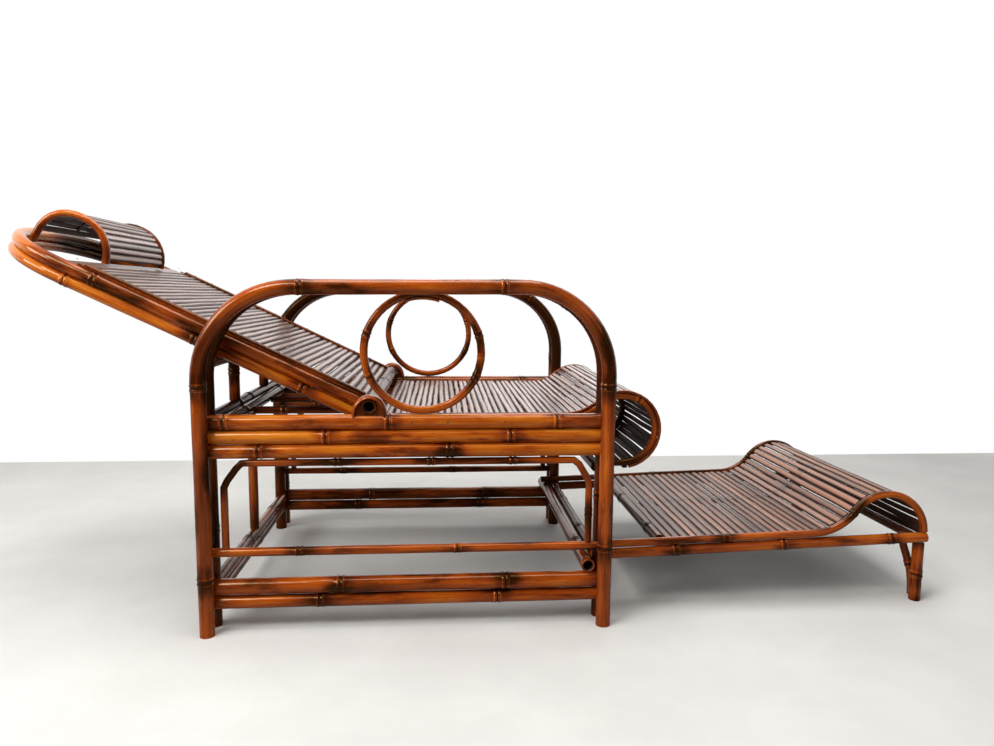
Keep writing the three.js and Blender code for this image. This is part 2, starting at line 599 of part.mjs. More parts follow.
function footRail(side) {
  const line = [FOOT_RAIL.startX, FOOT_RAIL.endX].map((x) => new THREE.Vector2(x, footRailZ));
  return placeFoot(rod(inPlane(line, side * FOOT_Y), FOOT_RAIL.r, { knotShares: FOOT_RAIL.knotShares }));
}
addPair("foot_rail", footRail, POLE);

const betweenRails = FOOT_Y - FOOT_RAIL.r - FIT;
const betweenRims = FOOT_Y - FOOT_RIM.r - FIT;
const innerPoleR = FOOT_INNER_POLE.r;
const innerPoleX = ROLLER.r + FIT + KNOT_RISE + innerPoleR;
const { x: deckPoleX, r: deckPoleR } = FOOT_DECK_POLE;
addPiece("foot_inner_pole", placeFoot(crossPole(innerPoleX, footRailZ, innerPoleR, betweenRails)), DARK_POLE);
addPiece("foot_deck_pole", placeFoot(crossPole(deckPoleX, footRimZ, deckPoleR, betweenRims)), DARK_POLE);
const endPole = crossPole(endPoleX, footRailZ, FOOT_END_POLE.r, betweenRails);
addPiece("foot_end_pole", placeFoot(endPole), DARK_POLE);

const deckStart = new THREE.Vector2(deckPoleX + deckPoleR + FIT, footRimZ);
const footDeckLine = [deckStart, ...footCurve()];
const footDeckLength = lineLength(footDeckLine) - FOOT_SLAT.endGap;
const footPlaces = evenPlaces(0, footDeckLength, FOOT_SLAT.pitch, FOOT_SLAT.width);
const footSlats = slatDeck(footDeckLine.slice(0, -2), betweenRims - KNOT_RISE, FOOT_SLAT, footPlaces);
addPiece("foot_slats", placeFoot(footSlats), SLAT);

const legAlong = FOOT_RAIL.endX - FOOT_LEG.setBack;
const legX = rollerX + legAlong * Math.cos(FOOT_TILT);
const railAtLegZ = rollerZ + footRailZ * Math.cos(FOOT_TILT) + legAlong * Math.sin(FOOT_TILT);
function footLeg(side) {
  const top = railAtLegZ - FOOT_RAIL.r - FIT - FOOT_LEG.r * Math.tan(FOOT_TILT);
  const ends = [0, top].map((z) => new THREE.Vector2(legX, z));
  return rod(inPlane(ends, side * FOOT_Y), FOOT_LEG.r);
}
addPair("foot_leg", footLeg, POLE);

// A thin rod bent down from the rail to the floor, along the inner side of the leg.
function footBrace(side) {
  const y = side * (FOOT_Y - FOOT_LEG.r - FIT - BRACE.r);
  const points = BRACE.points.map(([x, share]) => new THREE.Vector3(legX + x, y, share * railAtLegZ));
  const curve = new THREE.CatmullRomCurve3(points);
  return rod(curve.getSpacedPoints(CORNER_STEPS), BRACE.r, { sides: THIN_SIDES });
}
addPair("foot_brace", footBrace, DARK_POLE);

// The frame's origin is the middle of the object's footprint.
const box = new THREE.Box3().setFromObject(recliner);
const middle = (box.min.x + box.max.x) / 2;
recliner.children.forEach((mesh) => mesh.geometry.translate(-middle, 0, -box.min.z));

export default recliner;
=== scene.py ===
"""Looks of a folding recliner: lacquered cane poles, split-cane slats, bent straps and nails."""

import json
import math

import bpy
import numpy as np
from bpy.props import FloatProperty, FloatVectorProperty, IntProperty, PointerProperty
from mathutils import Matrix, Vector


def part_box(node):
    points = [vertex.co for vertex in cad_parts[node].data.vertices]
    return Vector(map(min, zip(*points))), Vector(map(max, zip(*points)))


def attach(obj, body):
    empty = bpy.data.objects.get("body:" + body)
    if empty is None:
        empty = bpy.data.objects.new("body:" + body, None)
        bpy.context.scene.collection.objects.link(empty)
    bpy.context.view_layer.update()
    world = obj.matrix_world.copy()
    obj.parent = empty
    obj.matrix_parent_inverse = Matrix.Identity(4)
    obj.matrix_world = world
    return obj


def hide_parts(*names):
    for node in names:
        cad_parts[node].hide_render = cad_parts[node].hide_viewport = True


bl_info = {
    "name": "Cane Recliner",
    "version": (1, 0, 0),
    "blender": (4, 5, 0),
    "location": "View3D > Sidebar > Recliner",
    "description": "Dresses a folding recliner in lacquered cane poles and split-cane slats",
    "category": "Object",
}

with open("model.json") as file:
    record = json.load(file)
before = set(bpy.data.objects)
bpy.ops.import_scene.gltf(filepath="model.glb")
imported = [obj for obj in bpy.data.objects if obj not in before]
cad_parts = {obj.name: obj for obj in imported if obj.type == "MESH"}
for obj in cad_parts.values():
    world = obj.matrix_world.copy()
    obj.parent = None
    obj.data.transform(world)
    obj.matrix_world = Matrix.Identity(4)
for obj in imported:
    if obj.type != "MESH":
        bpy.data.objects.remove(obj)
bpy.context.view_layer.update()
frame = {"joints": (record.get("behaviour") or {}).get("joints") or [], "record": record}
SIDES = {"near": -1, "far": 1}
BODY_OF = {node: body for body, nodes in frame["record"]["behaviour"]["bodies"].items() for node in nodes}
PIVOT = Vector(next(j["pos_m"] for j in frame["joints"] if j["name"] == "backrest_hinge"))

# Sizes in metres that several pieces share
CLEARANCE = 0.0003
POLE_GAP = 0.0016
RAIL_HALF = 0.0135
ROLLER_RADIUS = 0.013
TUBE_BORE = 0.0095
BORE_DEPTH = 0.045
HEAD_BAR = 0.018
HEAD_REACH = 0.002
BATTEN_Y = 0.246
BATTEN_HEIGHT = 0.0050
RIB_THICK = 0.0055
RIB_DROP = 0.0004
NO_KNOT = 0.2

# Where the finish's pattern starts on a split cane and on a tube, and how far apart it starts on poles
GRAIN_START = 3.1
TUBE_PATTERN = 7.0
POLE_PATTERNS, POLE_PATTERN = 97, 0.31

# A pole's sway: how much thicker, waves along it, and their turn
SWAYS = ((0.012, 21.0, 1), (0.008, 47.0, 2))


def middle(node):
    """The centre of a CAD node's box."""
    low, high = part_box(node)
    return (low + high) / 2


def sizes(group):
    """One of the add-on's groups of settings."""
    return getattr(bpy.context.scene, "recliner_" + group)


def kit(name):
    """A material or node tree that the finishes step made."""
    return bpy.context.scene["recliner_kit"][name]


def length_prop(name, description, default):
    return FloatProperty(
        name=name, description=description, default=default, min=0.0, unit="LENGTH", precision=4
    )


def angle_prop(name, description, degrees):
    return FloatProperty(
        name=name, description=description, default=math.radians(degrees), subtype="ANGLE"
    )


def colour_prop(name, description, default):
    return FloatVectorProperty(
        name=name, description=description, default=default, min=0.0, max=1.0, size=3, subtype="COLOR"
    )


class ReclinerCanes(bpy.types.PropertyGroup):
    """Cane poles and their nodes."""

    round_sides: IntProperty(name="Sides", description="Faces around a pole", default=24, min=6)
    ridge_rise: length_prop("Ridge rise", "How far a node's two ridges stand up", 0.0014)
    ridge_spread: length_prop("Ridge spread", "Half the distance between a node's ridges", 0.0042)
    wrap: length_prop("Wrap radius", "Radius that the lacquer pattern is wrapped round", 0.013)
    step: length_prop("Step", "Distance between rings along a pole", 0.014)


class ReclinerSide(bpy.types.PropertyGroup):
    """Side frames."""

    length: length_prop("Length", "Rear leg axis to front leg axis", 0.729)
    arm_height: length_prop("Arm height", "Arm pole axis above the floor", 0.635)
    rear_drop: length_prop("Rear drop", "How much lower the arm is at the back", 0.004)
    rear_corner: length_prop("Rear corner", "Radius of the arm's rear bend", 0.165)
    front_corner: length_prop("Front corner", "Radius of the arm's front bend", 0.160)
    pole: length_prop("Pole radius", "Radius of the hoop poles", 0.0135)
    tongue: length_prop("Tongue", "Radius of a rail's tongue between the legs", 0.0076)
    shoulder: length_prop("Shoulder", "Distance from leg axis to rail shoulder", 0.009)
    ring_bend: length_prop("Ring bend", "Radius of the ring's centre line", 0.106)
    ring_rod: length_prop("Ring rod", "Radius of the ring's rod", 0.0072)
    bracket_rod: length_prop("Bracket rod", "Radius of the bracket's rod", 0.0066)
    bracket_drop: length_prop("Bracket drop", "Height of the bracket's bent ends", 0.041)


class ReclinerSeat(bpy.types.PropertyGroup):
    """Seat rims and the rolled front."""

    rim: length_prop("Rim radius", "Radius of the seat rims", 0.0065)
    roll: length_prop("Roll radius", "Radius of the rolled front", 0.066)
    dip: length_prop("Dip radius", "Radius of the dip before the roll", 0.105)
    roll_height: length_prop("Roll height", "Roll centre above the floor", 0.3625)
    rim_height: length_prop("Rim height", "Rim axis above the floor", 0.386)
    overhang: length_prop("Overhang", "Roll centre ahead of the front leg axis", 0.0445)


class ReclinerBack(bpy.types.PropertyGroup):
    """Backrest hoops and headrest."""

    recline: angle_prop("Recline", "Slope at rest", 25.5)
    half_width: length_prop("Half width", "Half the distance between the poles", 0.247)
    bend_start: length_prop("Bend start", "Where the head bend begins", 0.590)
    bend_length: length_prop("Bend length", "Depth of the head bend", 0.170)
    bend_power: FloatProperty(name="Bend power", description="Fullness of the bend", default=2.3, min=1.0)
    upper_drop: length_prop("Upper drop", "Upper pole axis below the pivot plane", 0.0094)
    upper: length_prop("Upper radius", "Radius of the upper pole", 0.011)
    lower: length_prop("Lower radius", "Radius of the lower pole", 0.0098)
    arch_y: length_prop("Arch place", "Headrest rods from the middle", 0.135)
    arch_rod: length_prop("Arch rod", "Radius of the headrest rods", 0.007)
    arch_half: length_prop("Arch half length", "Half the headrest's length", 0.0685)
    arch_height: length_prop("Arch height", "Height of the headrest arch", 0.073)


class ReclinerFoot(bpy.types.PropertyGroup):
    """Footrest."""

    tilt: angle_prop("Tilt", "Rise towards the hump", 1.8)
    half_width: length_prop("Half width", "Half the distance between the rims", 0.2485)
    rim: length_prop("Rim radius", "Radius of the rims", 0.0075)
    rail: length_prop("Rail radius", "Radius of the lower rails", 0.0105)
    rail_end: length_prop("Rail end", "Far end of the rails from the roller", 0.714)
    crest_back: length_prop("Crest set back", "Hump centre behind the rail end", 0.086)
    crest: length_prop("Crest radius", "Radius of the hump", 0.082)
    dip: length_prop("Dip radius", "Radius of the dip before the hump", 0.108)


class ReclinerSlats(bpy.types.PropertyGroup):
    """Split-cane slats."""

    seat_pitch: length_prop("Seat pitch", "Distance between seat slats", 0.0120)
    seat_width: length_prop("Seat width", "Width of a seat slat", 0.0116)
    back_pitch: length_prop("Back pitch", "Distance between backrest slats", 0.0144)
    back_width: length_prop("Back width", "Width of a backrest slat", 0.0138)
    headrest_pitch: length_prop("Headrest pitch", "Distance between headrest slats", 0.0129)
    headrest_width: length_prop("Headrest width", "Width of a headrest slat", 0.0135)
    foot_pitch: length_prop("Foot pitch", "Distance between footrest slats", 0.0170)
    foot_width: length_prop("Foot width", "Width of a footrest slat", 0.0160)
    thickness: length_prop("Thickness", "Thickness of a slat", 0.0038)
    waver: length_prop("Waver", "How far a slat strays from straight", 0.0013)


class ReclinerFinish(bpy.types.PropertyGroup):
    """Lacquer and slat colours."""

    char: colour_prop("Char", "Burnt lacquer", (0.022, 0.0042, 0.0014))
    umber: colour_prop("Umber", "Dark lacquer", (0.058, 0.0095, 0.0020))
    russet: colour_prop("Russet", "Middle lacquer", (0.175, 0.026, 0.0022))
    amber: colour_prop("Amber", "Light lacquer", (0.42, 0.070, 0.0028))
    honey: colour_prop("Honey", "Palest lacquer", (0.70, 0.205, 0.0120))
    slat_dark: colour_prop("Slat dark", "Darkest slats", (0.060, 0.023, 0.014))
    # The palest slat colour is partly the slats' own pinkish brown and partly painted sheen, the pale
    # reflection of the surroundings.
    slat_pale_and_sheen: colour_prop("Slat light", "Palest slats", (0.40, 0.235, 0.180))
    slat_brown: colour_prop("Slat brown", "Palest footrest slats", (0.40, 0.165, 0.085))
    floor: colour_prop("Floor", "Studio floor", (0.74, 0.725, 0.690))


GROUPS = {
    "recliner_canes": ReclinerCanes,
    "recliner_side": ReclinerSide,
    "recliner_seat": ReclinerSeat,
    "recliner_back": ReclinerBack,
    "recliner_foot": ReclinerFoot,
    "recliner_slats": ReclinerSlats,
    "recliner_finish": ReclinerFinish,
}


# Shader maths

class Shade:
    """A value or colour in a shader tree, with Python's operators."""

    def __init__(self, recipe, socket):
        self.recipe = recipe
        self.socket = socket

    def maths(self, operation, *others):
        return self.recipe.node("ShaderNodeMath", [self, *others], operation=operation)

    def __add__(self, other):
        return self.maths("ADD", other)

    def __sub__(self, other):
        return self.maths("SUBTRACT", other)

    def __rsub__(self, other):
        return (self * -1) + other

    def __mul__(self, other):
        return self.maths("MULTIPLY", other)

    __radd__ = __add__
    __rmul__ = __mul__

    def size(self):
        return self.maths("ABSOLUTE")

    def ramp(self, low, high, start=0.0, end=1.0):
        """Smoothly from start to end as this goes from low to high."""
        values = [self, low, high, start, end]
        return self.recipe.node("ShaderNodeMapRange", values, interpolation_type="SMOOTHSTEP")


class Recipe:
    """The nodes of a shader tree."""

    def __init__(self, tree):
        self.nodes = tree.nodes
        self.links = tree.links

    def node(self, kind, values=(), output=0, **settings):
        """A node's output, with the node's settings and the values or links of its sockets."""
        made = self.nodes.new(kind)
        for key, value in settings.items():
            setattr(made, key, value)
        named = values.items() if isinstance(values, dict) else enumerate(values)
        for key, value in named:
            self.feed(made.inputs[key], value)
        return Shade(self, made.outputs[output])

    def feed(self, socket, value):
        if isinstance(value, Shade):
            self.links.new(value.socket, socket)
        else:
            socket.default_value = value

    def attribute(self, name, output="Fac"):
        return self.node("ShaderNodeAttribute", output=output, attribute_name=name)

    def place(self, output="Object"):
        return self.node("ShaderNodeTexCoord", output=output)

    def seen_by(self, ray):
        return self.node("ShaderNodeLightPath", output=f"Is {ray} Ray")

    def depth_of(self, place):
        """The Y coordinate of a place."""
        return self.node("ShaderNodeSeparateXYZ", [place], "Y")

    def noise(self, vector, scale, detail=3.0, roughness=0.55):
        """Noise with its own scale along each axis."""
        stretched = self.node("ShaderNodeVectorMath", [vector, scale], operation="MULTIPLY")
        values = {"Vector": stretched, "Scale": 1.0, "Detail": detail, "Roughness": roughness}
        return self.node("ShaderNodeTexNoise", values)

    def mix(self, factor, first, second):
        made = self.nodes.new("ShaderNodeMix")
        made.data_type = "RGBA"
        self.feed(made.inputs["Factor"], factor)
        colours = [s for s in made.inputs if s.type == "RGBA"]
        for socket, colour in zip(colours, (first, second)):
            self.feed(socket, colour if isinstance(colour, Shade) else (*colour, 1.0))
        return Shade(self, next(s for s in made.outputs if s.type == "RGBA"))

    def blend(self, value, places, colours):
        """A colour ramp with the colours at their places."""
        made = self.nodes.new("ShaderNodeValToRGB")
        elements = made.color_ramp.elements
        while len(elements) < len(places):
            elements.new(0.5)
        for element, place, colour in zip(elements, places, colours):
            element.position = place
            element.color = (*colour, 1.0)
        self.feed(made.inputs["Fac"], value)
        return Shade(self, made.outputs["Color"])

    def bump(self, height, strength):
        """A bump of a little over half a millimetre."""
        return self.node("ShaderNodeBump", {"Height": height, "Distance": 0.0006, "Strength": strength})


class Finish(Recipe):
    """A material with one surface shader."""

    def __init__(self, name):
        self.material = bpy.data.materials.new(name)
        self.material.use_nodes = True
        super().__init__(self.material.node_tree)
        self.shader = self.nodes["Principled BSDF"]

    def close(self, **sockets):
        """Fills the surface shader's sockets."""
        for name, value in sockets.items():
            label = name.replace("_", " ").title().replace("Ior", "IOR")
            self.feed(self.shader.inputs[label], value)
        return self.material

    def glow_where(self, mask):
        """Turns the surface plain white where the mask is one."""
        glow = self.nodes.new("ShaderNodeEmission")
        blend = self.nodes.new("ShaderNodeMixShader")
        self.feed(blend.inputs["Fac"], mask)
        self.links.new(self.shader.outputs["BSDF"], blend.inputs[1])
        self.links.new(glow.outputs["Emission"], blend.inputs[2])
        self.links.new(blend.outputs["Shader"], self.nodes["Material Output"].inputs["Surface"])


def cane_lacquer(colours):
    """Glossy lacquer over heated cane: streaks along the pole, scorched clouds, dark rings at the nodes with
    their ridges lighter, partly as painted highlight; each pole's tone and burn marks also carry painted
    shade and painted highlight.
    """
    recipe = Finish("cane_lacquer")
    cane_place = recipe.attribute("cane", "Vector")
    knot = recipe.attribute("knot")
    tone = recipe.attribute("tone")
    burn = recipe.attribute("burn")
    fibre = recipe.noise(cane_place, (260.0, 260.0, 9.0))
    streak = recipe.noise(cane_place, (80.0, 80.0, 5.0), 4.0, 0.6)
    cloud = recipe.noise(cane_place, (30.0, 30.0, 7.0), 4.0, 0.6)
    speck = recipe.noise(cane_place, (210.0, 210.0, 120.0), 2.0)
    ridge_highlight_at = 0.0062
    scorch = knot.ramp(0.004, 0.040, 1.0, 0.0) * cloud.ramp(0.30, 0.62)
    # The node's ridges are painted lighter: partly the cane's own lighter ridge, partly painted highlight.
    ring = (knot - ridge_highlight_at).size().ramp(0.0004, 0.0016, 1.0, 0.0)
    groove = knot.ramp(0.0006, 0.0022, 1.0, 0.0)
    patches = cloud.ramp(0.54, 0.68)
    depth = tone + (streak - 0.5) * 0.70 + (fibre - 0.5) * 0.30 + (cloud - 0.5) * -0.80
    # Burn marks darken as scorch and as painted shade, and lighten as painted highlight where negative.
    depth = depth - scorch * 0.46 - patches * 0.24 - burn * (0.25 + cloud * 0.75)
    depth = depth + ring * 0.24 - groove * 0.34 - speck.ramp(0.66, 0.74) * 0.12
    lacquers = (colours.char, colours.umber, colours.russet, colours.amber, colours.honey)
    return recipe.close(
        base_color=recipe.blend(depth, (0.0, 0.20, 0.42, 0.66, 0.95), lacquers),
        roughness=0.15 + cloud * 0.10,
        normal=recipe.bump(fibre * 0.25 + speck * 0.2 + streak * 0.3, 0.55),
        coat_weight=depth.ramp(0.18, 0.5) * 0.40,
        coat_roughness=0.08,
        specular_ior_level=0.35,
        specular_tint=(1.0, 0.52, 0.14, 1.0),
    )


def slat_finish(name, colours, pale, shift, edges, gloss):
    """Satin lacquer on split cane: each slat has its own shade, fine lengthwise fibres and grey smudges;
    edges and undersides are painted dark as shade between and under the slats.
    """
    recipe = Finish(name)
    grain = recipe.attribute("grain", "Vector")
    shade = recipe.attribute("shade")
    # edge marks a slat's sides and underside, which are painted dark as shade between and under the slats.
    edge = recipe.attribute("edge").ramp(edges, edges + 0.4)
    fibre = recipe.noise(grain, (520.0, 9.0, 300.0))
    streak = recipe.noise(grain, (170.0, 5.0, 60.0))
    place = recipe.place()
    smudge = recipe.noise(place, (9.0, 9.0, 9.0), 4.0, 0.6)
    spots = recipe.noise(place, (60.0, 90.0, 60.0), 3.0, 0.6)
    nail_band = recipe.depth_of(place).size().ramp(0.006, 0.020, 1.0, 0.0) * spots.ramp(0.36, 0.60)
    uneven = (streak - 0.5) * 0.70 + (fibre - 0.5) * 0.45 + (smudge - 0.5) * 0.45
    value = shade * 0.60 + uneven + 0.22 + shift
    value = value - nail_band * 0.34 - spots.ramp(0.60, 0.76) * 0.22 - edge * 0.9
    return recipe.close(
        base_color=recipe.mix(value.ramp(0.0, 1.0), colours.slat_dark, pale),
        roughness=0.36 + fibre * 0.12,
        normal=recipe.bump(fibre * 0.5 + streak * 0.5, 0.6),
        coat_weight=(1 - edge) * gloss,
        coat_roughness=0.2,
        specular_ior_level=0.15,
    )


def plain_finish(name, dark, light, roughness, metallic=0.0):
    """A finish that varies a little over the piece, for nails, ribs and the inside of a bore, whose
    near-black is painted shade.
    """
    recipe = Finish(name)
    mottle = recipe.noise(recipe.place(), (90.0, 90.0, 90.0), 4.0, 0.6)
    return recipe.close(
        base_color=recipe.mix(mottle.ramp(0.35, 0.65), dark, light),
        roughness=mottle * 0.2 + roughness,
        normal=recipe.bump(mottle, 0.4),
        metallic=metallic,
    )


# Geometry node trees

class Growth:
    """A geometry node tree with named inputs."""

    def __init__(self, name, inputs):
        self.tree = bpy.data.node_groups.new(name, "GeometryNodeTree")
        self.tree.is_modifier = True
        self.tree.interface.new_socket("Geometry", in_out="OUTPUT", socket_type="NodeSocketGeometry")
        for label, kind in {"Geometry": "Geometry", **inputs}.items():
            self.tree.interface.new_socket(label, in_out="INPUT", socket_type="NodeSocket" + kind)
        self.start = self.tree.nodes.new("NodeGroupInput").outputs
        self.end = self.tree.nodes.new("NodeGroupOutput").inputs

    def node(self, kind, values=None, output=0, **settings):
        """A node's output, with the node's settings and the values or links of its sockets."""
        made = self.tree.nodes.new(kind)
        for key, value in settings.items():
            setattr(made, key, value)
        for key, value in (values or {}).items():
            socket = self.socket(made, key)
            if isinstance(value, bpy.types.NodeSocket):
                self.tree.links.new(value, socket)
            else:
                socket.default_value = value
        return [s for s in made.outputs if s.enabled][output]

    def socket(self, made, key):
        """An enabled input by name, or by its place among the enabled ones."""
        enabled = [s for s in made.inputs if s.enabled]
        return enabled[key] if isinstance(key, int) else next(s for s in enabled if s.name == key)

    def maths(self, operation, *values):
        return self.node("ShaderNodeMath", dict(enumerate(values)), operation=operation)

    def vectors(self, operation, *values):
        return self.node("ShaderNodeVectorMath", dict(enumerate(values)), operation=operation)

    def vector(self, x, y, z):
        return self.node("ShaderNodeCombineXYZ", {"X": x, "Y": y, "Z": z})

    def named(self, name, kind="FLOAT"):
        return self.node("GeometryNodeInputNamedAttribute", {"Name": name}, data_type=kind)

    def store(self, geometry, name, value, kind="FLOAT", domain="POINT"):
        values = {"Geometry": geometry, "Name": name, "Value": value}
        return self.node("GeometryNodeStoreNamedAttribute", values, data_type=kind, domain=domain)

    def random(self, low, high, salt):
        """A random value for each point or slat; each salt gives values of its own."""
        values = {"Min": low, "Max": high, "Seed": self.maths("ADD", self.start["Seed"], float(salt))}
        return self.node("FunctionNodeRandomValue", values, data_type="FLOAT")

    def line(self):
        return self.node("GeometryNodeMeshToCurve", {"Mesh": self.start["Geometry"]})

    def set_on(self, points, source, lie, scale):
        """Puts an object's mesh on each point."""
        mesh = self.node("GeometryNodeObjectInfo", {"Object": source}, 4, transform_space="ORIGINAL")
        values = {"Points": points, "Instance": mesh, "Rotation": lie, "Scale": scale}
        return self.node("GeometryNodeInstanceOnPoints", values)

    def realized(self, geometry):
        return self.node("GeometryNodeRealizeInstances", {"Geometry": geometry})

    def close(self, geometry):
        """Smooths and realizes the geometry and gives it the tree's material."""
        geometry = self.node("GeometryNodeSetShadeSmooth", {"Geometry": geometry})
        values = {"Geometry": self.realized(geometry), "Material": self.start["Material"]}
        self.tree.links.new(self.node("GeometryNodeSetMaterial", values), self.end["Geometry"])
        return self.tree


def cane_tree():
    """Grows a round pole along a line whose points carry the pole's radius there."""
    inputs = {"Sides": "Int", "Wrap radius": "Float", "Tone": "Float", "Material": "Material"}
    growth = Growth("Cane pole", inputs)
    start = growth.start
    circle = growth.node("GeometryNodeCurvePrimitiveCircle", {"Resolution": start["Sides"], "Radius": 1.0})
    circle = growth.store(circle, "turn", growth.node("GeometryNodeSplineParameter"))
    values = {
        "Curve": growth.line(), "Profile Curve": circle, "Scale": growth.named("radius"), "Fill Caps": True,
    }
    pole = growth.node("GeometryNodeCurveToMesh", values)
    angle = growth.maths("MULTIPLY", growth.named("turn"), 2 * math.pi)
    wrap = start["Wrap radius"]
    over = [growth.maths("MULTIPLY", growth.maths(which, angle), wrap) for which in ("COSINE", "SINE")]
    pole = growth.store(pole, "cane", growth.vector(*over, growth.named("along")), "FLOAT_VECTOR")
    return growth.close(growth.store(pole, "tone", start["Tone"]))


def slat_tree():
    """Lays slats across a line, each with its own width, lie and shade."""
    growth = Growth("Slats", {
        "Slat": "Object", "Count": "Int", "Spread": "Float", "Waver": "Float", "Seed": "Int",
        "Material": "Material",
    })
    start = growth.start
    values = {"Curve": growth.line(), "Count": start["Count"]}
    points = growth.node("GeometryNodeResampleCurve", values, mode="COUNT")
    values = {0: (0.0, 1.0, 0.0), 1: growth.node("GeometryNodeInputTangent")}
    lie = growth.node("FunctionNodeAxesToRotation", values, primary_axis="Y", secondary_axis="X")
    roll = growth.random(-0.07, 0.07, 1)
    yaw = growth.random(-0.007, 0.007, 2)
    turn = growth.node("FunctionNodeEulerToRotation", {0: growth.vector(0.0, roll, yaw)})
    lie = growth.node("FunctionNodeRotateRotation", {0: lie, 1: turn}, rotation_space="LOCAL")
    low = growth.maths("SUBTRACT", 1.0, start["Spread"])
    high = growth.maths("ADD", 1.0, start["Spread"])
    scale = growth.vector(growth.random(low, high, 3), 1.0, growth.random(0.82, 1.0, 4))
    slats = growth.set_on(points, start["Slat"], lie, scale)
    slats = growth.store(slats, "shade", growth.random(0.0, 1.0, 5), domain="INSTANCE")
    slats = growth.store(slats, "number", growth.random(0.0, 50.0, 6), domain="INSTANCE")
    slats = growth.realized(slats)
    apart = growth.vector(growth.named("number"), growth.named("number"), 0.0)
    grain = growth.vectors("ADD", growth.named("local", "FLOAT_VECTOR"), apart)
    slats = growth.store(slats, "grain", grain, "FLOAT_VECTOR")
    stretch = growth.vectors("MULTIPLY", grain, (1.0, 9.0, 1.0))
    noise = growth.node("ShaderNodeTexNoise", {"Vector": stretch, "Scale": 1.0, "Detail": 2.0}, 1)
    centred = growth.vectors("SUBTRACT", noise, (0.5, 0.5, 0.5))
    sideways = growth.vectors("MULTIPLY", centred, (4.0, 0.0, 1.5))
    offset = growth.vectors("SCALE", sideways, start["Waver"])
    return growth.close(growth.node("GeometryNodeSetPosition", {"Geometry": slats, "Offset": offset}))


def nail_tree():
    """Puts a nail head on each point, facing along the point's own direction."""
    growth = Growth("Nails", {"Nail": "Object", "Seed": "Int", "Material": "Material"})
    points = growth.node("GeometryNodeMeshToPoints", {"Mesh": growth.start["Geometry"], "Radius": 0.001})
    facing = {"Vector": growth.named("facing", "FLOAT_VECTOR")}
    lie = growth.node("FunctionNodeAlignRotationToVector", facing, axis="Z")
    return growth.close(growth.set_on(points, growth.start["Nail"], lie, growth.random(0.8, 1.1, 1)))


def grow(name, line_mesh, tree, inputs):
    """Runs a tree on a mesh and keeps the result as a plain mesh object."""
    blank = add_object(name + "_blank", line_mesh)
    modifier = blank.modifiers.new("Growth", "NODES")
    modifier.node_group = tree
    for item in tree.interface.items_tree:
        if item.item_type == "SOCKET" and item.in_out == "INPUT" and item.name in inputs:
            modifier[item.identifier] = inputs[item.name]
    graph = bpy.context.evaluated_depsgraph_get()
    grown = blank.evaluated_get(graph)
    mesh = bpy.data.meshes.new_from_object(grown, preserve_all_data_layers=True, depsgraph=graph)
    blank.modifiers.remove(modifier)
    bpy.data.objects.remove(blank)
    if not mesh.polygons:
        raise RuntimeError(f"{name} grew no faces")
    mesh.set_sharp_from_angle(angle=math.radians(50))
    return add_object(name, mesh)


def add_object(name, mesh):
    piece = bpy.data.objects.new(name, mesh)
    mesh.name = name
    bpy.context.scene.collection.objects.link(piece)
    return piece


def hand_over(piece, node):
    """The piece rides on its node's body and stands for the node, which is hidden."""
    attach(piece, BODY_OF[node])
    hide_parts(node)
    return piece


# Lines

def bow(centre, half_x, half_z, start, end, steps=40, power=2.0):
    """Points on an oval in the plane; a power above 2 makes it fuller."""
    angles = np.linspace(start, end, steps + 1)
    full = [np.sign(f(angles)) * np.abs(f(angles)) ** (2.0 / power) for f in (np.cos, np.sin)]
    return np.column_stack([centre[0] + half_x * full[0], centre[1] + half_z * full[1]])


def arc(centre, radius, start, end, steps=40):
    return bow(centre, radius, radius, start, end, steps)


def line_of(*parts):
    return np.vstack([np.atleast_2d(part) for part in parts])


def unit(vectors):
    """The same directions at a length of one."""
    return vectors / np.linalg.norm(vectors, axis=-1, keepdims=True)


def raised(flat, lift):
    """A flat line moved off to its upper side."""
    ahead = unit(np.gradient(flat, axis=0))
    return flat + np.column_stack([-ahead[:, 1], ahead[:, 0]]) * lift


def upright(flat, y):
    """A line in the XZ plane, stood at a width of y."""
    return np.column_stack([flat[:, 0], np.full(len(flat), y), flat[:, 1]])


def lengths_of(line):
    return np.concatenate([[0.0], np.cumsum(np.linalg.norm(np.diff(line, axis=0), axis=1))])


def point_at(line, lengths, s):
    return np.column_stack([np.interp(s, lengths, line[:, k]) for k in range(line.shape[1])])


def trim(line, margin):
    """A line shortened by the same length at both ends."""
    lengths = lengths_of(line)
    inside = lengths[(lengths > margin) & (lengths < lengths[-1] - margin)]
    return point_at(line, lengths, np.concatenate([[margin], inside, [lengths[-1] - margin]]))


def rounded(flat, radius):
    """A bent line with its corners rounded."""
    points = [flat[0]]
    for before, corner, after in zip(flat, flat[1:], flat[2:]):
        back = unit(before - corner) * radius
        ahead = unit(after - corner) * radius
        for t in np.linspace(0.0, 1.0, 9):
            points.append(corner + back * (1 - t) ** 2 + ahead * t**2)
    points.append(flat[-1])
    return np.array(points)


def straight_node(node, along):
    """The end points of a straight node's axis, read from its box; 0, 1 or 2 stands for X, Y or Z."""
    low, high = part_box(node)
    ends = np.array([(low + high) / 2] * 2)
    ends[:, along] = low[along], high[along]
    return ends


# Meshes

def store(mesh, name, values):
    """Keeps a point attribute: one number for all points, or a number or a vector for each."""
    values = np.array(values, np.float32)
    if values.ndim == 0:
        values = np.full(len(mesh.vertices), values)
    kind, key = ("FLOAT_VECTOR", "vector") if values.ndim == 2 else ("FLOAT", "value")
    mesh.attributes.new(name, kind, "POINT").data.foreach_set(key, values.ravel())


def line_mesh(name, line, closed=False):
    """A mesh of points and edges only."""
    edges = [(i, i + 1) for i in range(len(line) - 1)] + ([(len(line) - 1, 0)] if closed else [])
    mesh = bpy.data.meshes.new(name + "_line")
    mesh.from_pydata(line.tolist(), edges, [])
    return mesh


